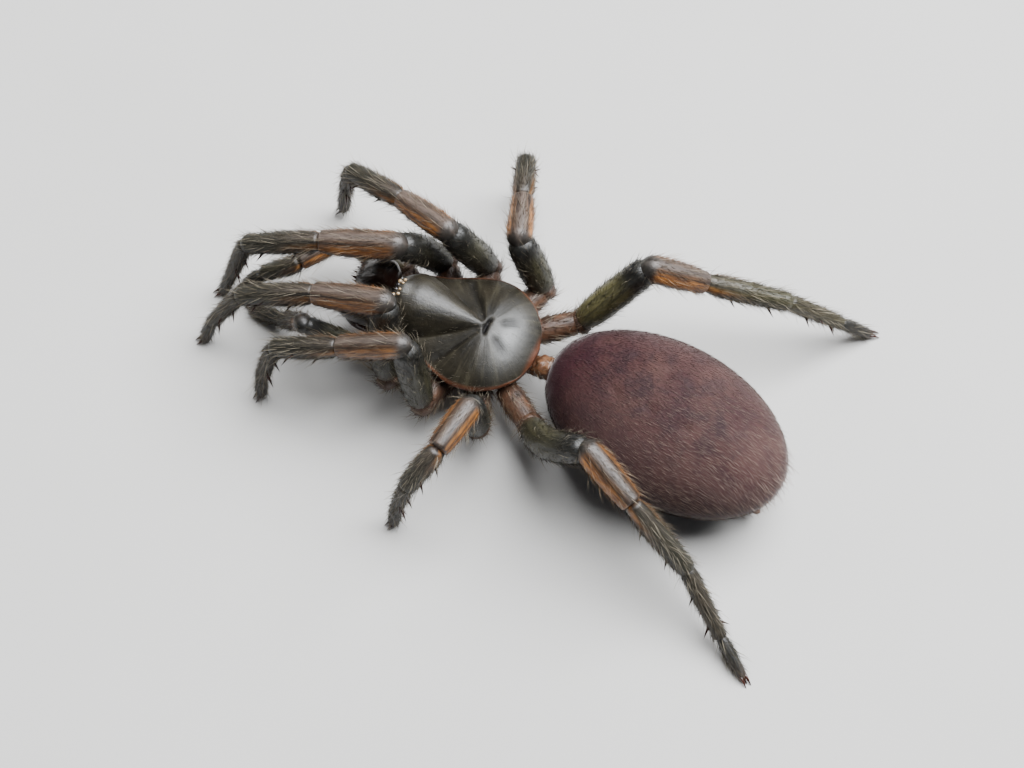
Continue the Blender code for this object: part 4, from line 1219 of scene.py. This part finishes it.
def make_limb(name, kind, side, finish):
    """A limb from the sternum to the foot in one skin."""
    joints = chain(name, kind, side)
    coxa, *radii = LIMBS[kind]["radii"]
    root = mirrored(LIMBS[kind]["root"], side)
    marks = MARKS[name]
    skin = Skin(name + "_skin")
    hip = joints[0]
    add_segment(skin, "coxa", root, hip, coxa, marks, 0, 0.0, before=coxa * 0.4,
                after=-coxa * 0.25)
    across = unit(unit(hip - root) + unit(joints[1] - hip)) * coxa * 0.8
    add_segment(skin, "trochanter", hip - across, hip + across, coxa * 1.03, marks, 1,
                TROCHANTER_GRAIN)
    travelled = FEMUR_GRAIN
    segments = PALP_SEGMENTS if kind == "palp" else LEG_SEGMENTS
    for i, (segment, before, after) in enumerate(segments):
        bow = BOW.get(name, (0, 0, 0)) if segment == "femur" else (0, 0, 0)
        add_segment(skin, segment, joints[i], joints[i + 1], radii[i], marks, i + 2, travelled,
                    bow, radii[i] * before, radii[i] * after)
        travelled += LIMBS[kind]["lengths"][i]
    limb = skin.make(finish)
    solids = ("upper", "lower") if kind == "palp" else ("upper", "shin", "foot")
    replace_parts(limb, *[f"{name}_{solid}" for solid in solids])
    return limb, joints


def make_claws(name, kind, joints, finish):
    """Claws that curve down to the floor: two large ones and a small one, or one on a palp."""
    joint, foot = joints[-2], joints[-1]
    radius = LIMBS[kind]["radii"][-1]
    ahead = unit(foot - joint)
    level = unit(np.array([-ahead[1], ahead[0], 0.0]))
    forward = np.array([level[1], -level[0], 0.0])
    skin = Skin(name + "_claws")
    for spread_out, size in (PALP_CLAWS if kind == "palp" else LEG_CLAWS):
        root = foot - ahead * radius * 0.9 + level * spread_out * radius * 0.45
        tip = foot + (forward + level * spread_out * 0.3) * 0.5 * size
        tip[2] = 0.01
        share = np.linspace(0, 1, CLAW_CUTS)[:, None]
        arch = (root + tip) / 2 + np.array([0, 0, 0.2 * size])
        path = root * (1 - share) ** 2 + arch * 2 * share * (1 - share) + tip * share ** 2
        taper = CLAW_RADIUS * (1 - share[:, 0]) ** 0.8 + 0.008
        rings, *_ = tube_rings(path, taper, taper, CLAW_SIDES)
        skin.add_shell(rings, path[0] - ahead * 0.05, path[-1])
    skin.make(finish)


def spine_spots(start, end, radius, places, size):
    """Root, lean, outward direction and size of each spine round a segment."""
    ahead = unit(end - start)
    level = unit(np.array([-ahead[1], ahead[0], 0.0]))
    top = np.cross(ahead, level)
    spots = []
    for share, turn in places:
        out = top * math.cos(math.radians(turn)) + level * math.sin(math.radians(turn))
        root = start + (end - start) * share + out * radius * 0.8
        lean = out * (0.2 * radius + SPINE_LENGTH * 0.7) + ahead * SPINE_LENGTH * SPINE_LEAN
        spots.append((root, lean, out, size))
    return spots


def make_leg_spines(name, kind, joints, finish, seed):
    """Spines under and beside the shin and the foot."""
    spots = []
    for i, large in ((2, TIBIA_SPINES), (3, METATARSUS_SPINES)):
        radius = LIMBS[kind]["radii"][i + 1]
        for places, size in ((large, 1.0), (SMALL_SPINES, SMALL_SPINE)):
            spots += spine_spots(joints[i], joints[i + 1], radius, places, size)
    roots, leans, away, size = zip(*spots)
    set_spines(name + "_spines", roots, leans, away, size, finish, seed, LEG_SPINE)


def make_rastellum(side_name, side, finish):
    """The digging rake: stout spines on the front of a chelicera, in a large and a small row."""
    x = side * CHELICERA_SIDE
    spots = []
    for row, (drop, size, count) in enumerate(RAKE_ROWS):
        for share in np.linspace(0, 1, count):
            root = (x + side * (share * 0.9 - 0.5 - 0.08 * row), -7.9 + share * 0.1 - 0.03 * row,
                    3.5 + share * 0.1 - drop)
            spots.append((root, (0.0, -0.45, 0.12), (0.0, 0.0, 1.0), size))
    roots, leans, away, size = zip(*spots)
    set_spines(f"rastellum_{side_name}_spines", roots, leans, away, size, finish,
               RAKE_SEED, RAKE_SPINE)


# Waist, abdomen and spinnerets


def make_pedicel(finish):
    """The waist: a short soft stalk with rings of small bumps."""
    line = np.array(PEDICEL_RINGS)
    y = np.linspace(line[0, 1], line[-1, 1], PEDICEL_CUTS)
    x, z, size = (along(line[:, (1, k)], y) for k in (0, 2, 3))
    path = np.stack([x, y, z], 1)
    share = (y - y[0]) / (y[-1] - y[0])
    angle = (np.arange(PEDICEL_SIDES) / PEDICEL_SIDES * 2 - 1) * math.pi
    size[:4] *= (0.6, 0.8, 0.92, 0.98)
    size[-4:] *= (0.98, 0.92, 0.8, 0.6)
    twist = np.cos(angle * 5 + 3 * share[:, None])
    bumps = 1 + 0.06 * np.sin(share * 31)[:, None] * (0.5 + 0.5 * twist)
    bumps = bumps + 0.03 * np.sin(angle * 11)[None] * np.sin(share * 17)[:, None]
    rings, *_ = tube_rings(path, size, size, PEDICEL_SIDES)
    rings = path[:, None] + (rings - path[:, None]) * bumps[..., None]
    skin = Skin("pedicel_skin")
    skin.add_shell(rings, path[0], path[-1], grain=rings, lie=(0, 1.0, 0.3),
                   short_coat=1.0, long_coat=1.0, short_reach=1.0, long_reach=1.0)
    stalk = skin.make(finish)
    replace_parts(stalk, "pedicel")
    return stalk


def abdomen_axes():
    turn = math.radians(ABDOMEN_TURN)
    forward = np.array([math.sin(turn), math.cos(turn), 0.0])
    level = np.array([math.cos(turn), -math.sin(turn), 0.0])
    return forward, level, np.array(ABDOMEN_MIDDLE)


def make_abdomen(finish):
    forward, level, middle = abdomen_axes()
    tilt = np.linspace(0, math.pi, ABDOMEN_CUTS + 2)[1:-1]
    place = -np.cos(tilt)
    size = np.sin(tilt)
    angle = (np.arange(ABDOMEN_SIDES) / ABDOMEN_SIDES * 2 - 1) * math.pi
    lengthwise = ABDOMEN_HALF_LENGTH - COAT_DEPTH
    wide, tall = ABDOMEN_HALF_WIDTH - COAT_DEPTH, ABDOMEN_HALF_HEIGHT - COAT_DEPTH
    x = np.sin(angle)[None] * size[:, None] * wide
    z = np.cos(angle)[None] * size[:, None] * tall
    y = place[:, None] * lengthwise * np.ones((1, ABDOMEN_SIDES))
    # shallow folds round the front, and paired muscle dimples on the back
    folds = 0.03 * np.sin(y * 7.5 + 1.2 * np.cos(angle)[None])
    folds = folds * hill(place, -0.95, 0.16)[:, None]
    dents = np.zeros(x.shape)
    for at in (-2.6, -0.6, 1.6):
        for dx in (-1.15, 1.15):
            dents += 0.09 * hill(x, dx, 0.28) * hill(y, at, 0.35) * (np.cos(angle) > 0)[None]
    swell = 1 - (dents - folds) / 4
    rings = middle + (x * swell)[..., None] * level + y[..., None] * forward
    rings[..., 2] += z * swell
    shade = 0.9 * ease(-0.45, 0.55, -np.cos(angle))[None]
    # painted sheen: paler upper flanks behind the front and a paler rear
    flanks = hill(np.abs(angle), 0.95, 0.5)[None] * ease(-0.95, -0.4, place)[:, None]
    bloom = np.maximum(flanks, 0.8 * ease(0.35, 0.9, place)[:, None])
    front = ease(0.35, 0.95, -place)[:, None]
    fair = 0.22 + 0.78 * ease(-0.5, 0.7, place[:, None] + 0.5 * x / wide)
    lungs = hill(np.abs(x), 1.9, 0.75) * (hill(y, -4.1, 0.6) + hill(y, -2.3, 0.55)) * (z < -1.5)
    lie = np.broadcast_to(forward, rings.shape).copy()
    # hairs run back along the body and turn down to the spinnerets
    lie[..., 2] += 0.05 - 1.1 * ease(0.3, 0.95, place)[:, None]
    above = ease(0.25, 0.8, rings[..., 2])
    rear = ease(0.72, 0.97, place)[:, None]
    skin = Skin("abdomen_skin")
    skin.add_shell(rings, middle - forward * lengthwise, middle + forward * lengthwise,
                   shade=shade, bloom=bloom, front=front, fair=fair,
                   lungs=np.clip(lungs, 0, 1) * 0.8, grain=np.stack([x, y, z], 2), lie=lie,
                   short_coat=above, short_reach=1.0, long_coat=(0.1 + rear * 0.9) * above,
                   long_reach=0.6 + 0.75 * rear)
    abdomen = skin.make(finish)
    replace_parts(abdomen, "abdomen")
    return abdomen


def make_spinnerets(finish):
    """Two pairs of jointed spinnerets, tucked under the rear of the abdomen."""
    forward, level, middle = abdomen_axes()
    made = []
    for name, aside, drop, radius, length, clear in SPINNERETS:
        inside = 1 - (drop / ABDOMEN_HALF_HEIGHT) ** 2 - (aside / ABDOMEN_HALF_WIDTH) ** 2
        reach = ABDOMEN_HALF_LENGTH * math.sqrt(inside) + clear
        for side_name, side in SIDES:
            root = middle + forward * reach + level * side * aside + np.array([0, 0, drop])
            out = unit(forward + level * side * SPINNERET_SPREAD)
            # the root bends up into the abdomen
            share = np.linspace(-0.35 / length, 1, SPINNERET_CUTS)
            path = root + out * length * share[:, None]
            path[:, 2] += 0.55 * (np.minimum(share, 0) / share[0]) ** 2
            size = radius * along(SPINNERET_TAPER, (share - share[0]) / (share[-1] - share[0]))
            size[:3] *= (0.5, 0.8, 0.95)
            rings, *_ = tube_rings(path, size, size, SPINNERET_SIDES)
            skin = Skin(f"spinneret_{name}_{side_name}_skin")
            skin.add_shell(rings, path[0], path[-1] + out * 0.03, grain=rings, lie=out,
                           short_coat=0.8, long_coat=0.5, short_reach=1.0, long_reach=1.0)
            piece = skin.make(finish)
            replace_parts(piece, f"spinneret_{name}_{side_name}")
            made.append(piece)
    return made


# Floor, light and camera


def make_floor():
    material, tree, shader = new_finish("pale_table", 0.8)
    place = object_place(tree)
    cloud = noise(tree, place, 0.05, 3.0)
    tree.links.new(blend(tree, cloud, (0.5, 0.49, 0.47, 1), (0.56, 0.55, 0.53, 1)),
                   shader.inputs["Base Color"])
    mesh = bpy.data.meshes.new("floor")
    corners = np.array([(-1, -1, 0), (1, -1, 0), (1, 1, 0), (-1, 1, 0)])
    mesh.from_pydata(corners * FLOOR_REACH, [], [(0, 1, 2, 3)])
    mesh.materials.append(material)
    put_in_scene(bpy.data.objects.new("floor", mesh))


def aim(thing, ahead, upward):
    """Turns a camera or a lamp so that it looks this way."""
    back = unit(-np.asarray(ahead, float))
    right = unit(np.cross(upward, back))
    top = np.cross(back, right)
    thing.matrix_world = Matrix((
        (right[0], top[0], back[0], thing.location[0]),
        (right[1], top[1], back[1], thing.location[1]),
        (right[2], top[2], back[2], thing.location[2]), (0, 0, 0, 1)))


CAMERA_PITCH = math.radians(65)
CAMERA_TURN = math.radians(24)
CAMERA_TARGET = np.array([2.317, 2.554, 4.5])
CAMERA_DISTANCE = 128.63
CAMERA_LENS = 85
CAMERA_SENSOR = 36

# Lamps: share of up, away from the camera and to its right in the direction each shines from,
# then distance and sides in metres, power and colour
LAMPS = (
    ("sky", (1.0, 0.32, 0.45), 0.35, (0.42, 0.29), 6.4, (0.95, 0.97, 1.0)),
    ("window", (0.8, 0.5, -0.8), 0.4, (0.2, 0.2), 0.3, (1.0, 0.96, 0.9)),
)
ROOM_COLOUR = (0.8, 0.87, 1.0, 1)
ROOM_LIGHT = 0.08
# Half the floor's side in metres
FLOOR_REACH = 0.6


def camera_axes():
    heading = np.array([-math.cos(CAMERA_TURN), -math.sin(CAMERA_TURN), 0.0])
    right = np.array([heading[1], -heading[0], 0.0])
    ahead = heading * math.cos(CAMERA_PITCH) - (0, 0, math.sin(CAMERA_PITCH))
    upward = heading * math.sin(CAMERA_PITCH) + (0, 0, math.cos(CAMERA_PITCH))
    return right, ahead, upward


def make_camera():
    _, ahead, upward = camera_axes()
    lens = bpy.data.cameras.new("camera")
    lens.lens = CAMERA_LENS
    lens.sensor_width = CAMERA_SENSOR
    lens.clip_start = 0.01
    lens.clip_end = 5
    camera = put_in_scene(bpy.data.objects.new("camera", lens))
    camera.location = (CAMERA_TARGET + SHIFT - ahead * CAMERA_DISTANCE) * MM
    aim(camera, ahead, upward)
    bpy.context.scene.camera = camera


def lamp(name, from_direction, distance, size, power, colour):
    """A soft light, wider across the picture than deep, that looks at the spider."""
    _, _, upward = camera_axes()
    light = bpy.data.lights.new(name, "AREA")
    light.shape = "RECTANGLE"
    light.size, light.size_y = size
    light.energy = power
    light.color = colour
    thing = put_in_scene(bpy.data.objects.new(name, light))
    away = unit(from_direction)
    thing.location = away * distance + (0, 0, 0.004)
    aim(thing, -away, upward)


def make_light():
    world = bpy.data.worlds.new("soft_room")
    bpy.context.scene.world = world
    world.use_nodes = True
    back = world.node_tree.nodes["Background"]
    back.inputs["Color"].default_value = ROOM_COLOUR
    back.inputs["Strength"].default_value = ROOM_LIGHT
    right, _, upward = camera_axes()
    away = unit(np.array([upward[0], upward[1], 0.0]))
    for name, (up, far, aside), *rest in LAMPS:
        lamp(name, (0, 0, up) + away * far + right * aside, *rest)


# The whole spider


def main():
    bristle_family()
    coat_tree()
    spine_tree()
    cuticle, bristle = leg_cuticle(), leg_bristle()
    dark_horn = horn()
    hide = soft_hide("underside_plate", (0.045, 0.014, 0.007), (0.14, 0.05, 0.022), 0.38)
    waist = soft_hide("waist_skin", (0.035, 0.012, 0.006), (0.2, 0.095, 0.045), 0.3)
    spinner = soft_hide("spinneret_skin", (0.09, 0.045, 0.03), (0.22, 0.13, 0.09), 0.55)
    shell = make_carapace(shell_gloss())
    make_eyes(eye_lens())
    for plate in PLATES:
        make_plate(plate, hide)
    grow_coat(shell, "carapace_hairs", bristle, CARAPACE_SEED, "carapace")
    gloss = chelicera_gloss()
    for number, (side_name, side) in enumerate(SIDES):
        base = make_chelicera(side_name, side, gloss)
        make_fang(side_name, side, dark_horn)
        make_rastellum(side_name, side, dark_horn)
        grow_coat(base, f"chelicera_{side_name}_hairs", bristle,
                  CHELICERA_SEED + number, "chelicera")
    seed = LIMB_SEED
    for side_name, side in SIDES:
        for kind in ("palp", "1", "2", "3", "4"):
            name = f"palp_{side_name}" if kind == "palp" else f"leg_{side_name}_{kind}"
            limb, joints = make_limb(name, kind, side, cuticle)
            grow_coat(limb, name + "_hairs", bristle, seed, "limb")
            seed += 1
            make_claws(name, kind, joints, dark_horn)
            if kind != "palp":
                make_leg_spines(name, kind, joints, dark_horn, seed)
    grow_coat(make_pedicel(waist), "pedicel_hairs", bristle, PEDICEL_SEED, "pedicel")
    abdomen = make_abdomen(abdomen_velvet())
    velvet_hair = abdomen_bristle()
    # two coats share the hairs, because one mesh of them all would be too large
    for number, half in enumerate(("first", "second")):
        grow_coat(abdomen, f"abdomen_hairs_{half}", velvet_hair,
                  ABDOMEN_SEED + number, "abdomen")
    for number, piece in enumerate(make_spinnerets(spinner)):
        grow_coat(piece, piece.name.replace("_skin", "_hairs"), bristle,
                  SPINNERET_SEED + number, "spinneret")
    make_floor()
    make_light()
    make_camera()


main()
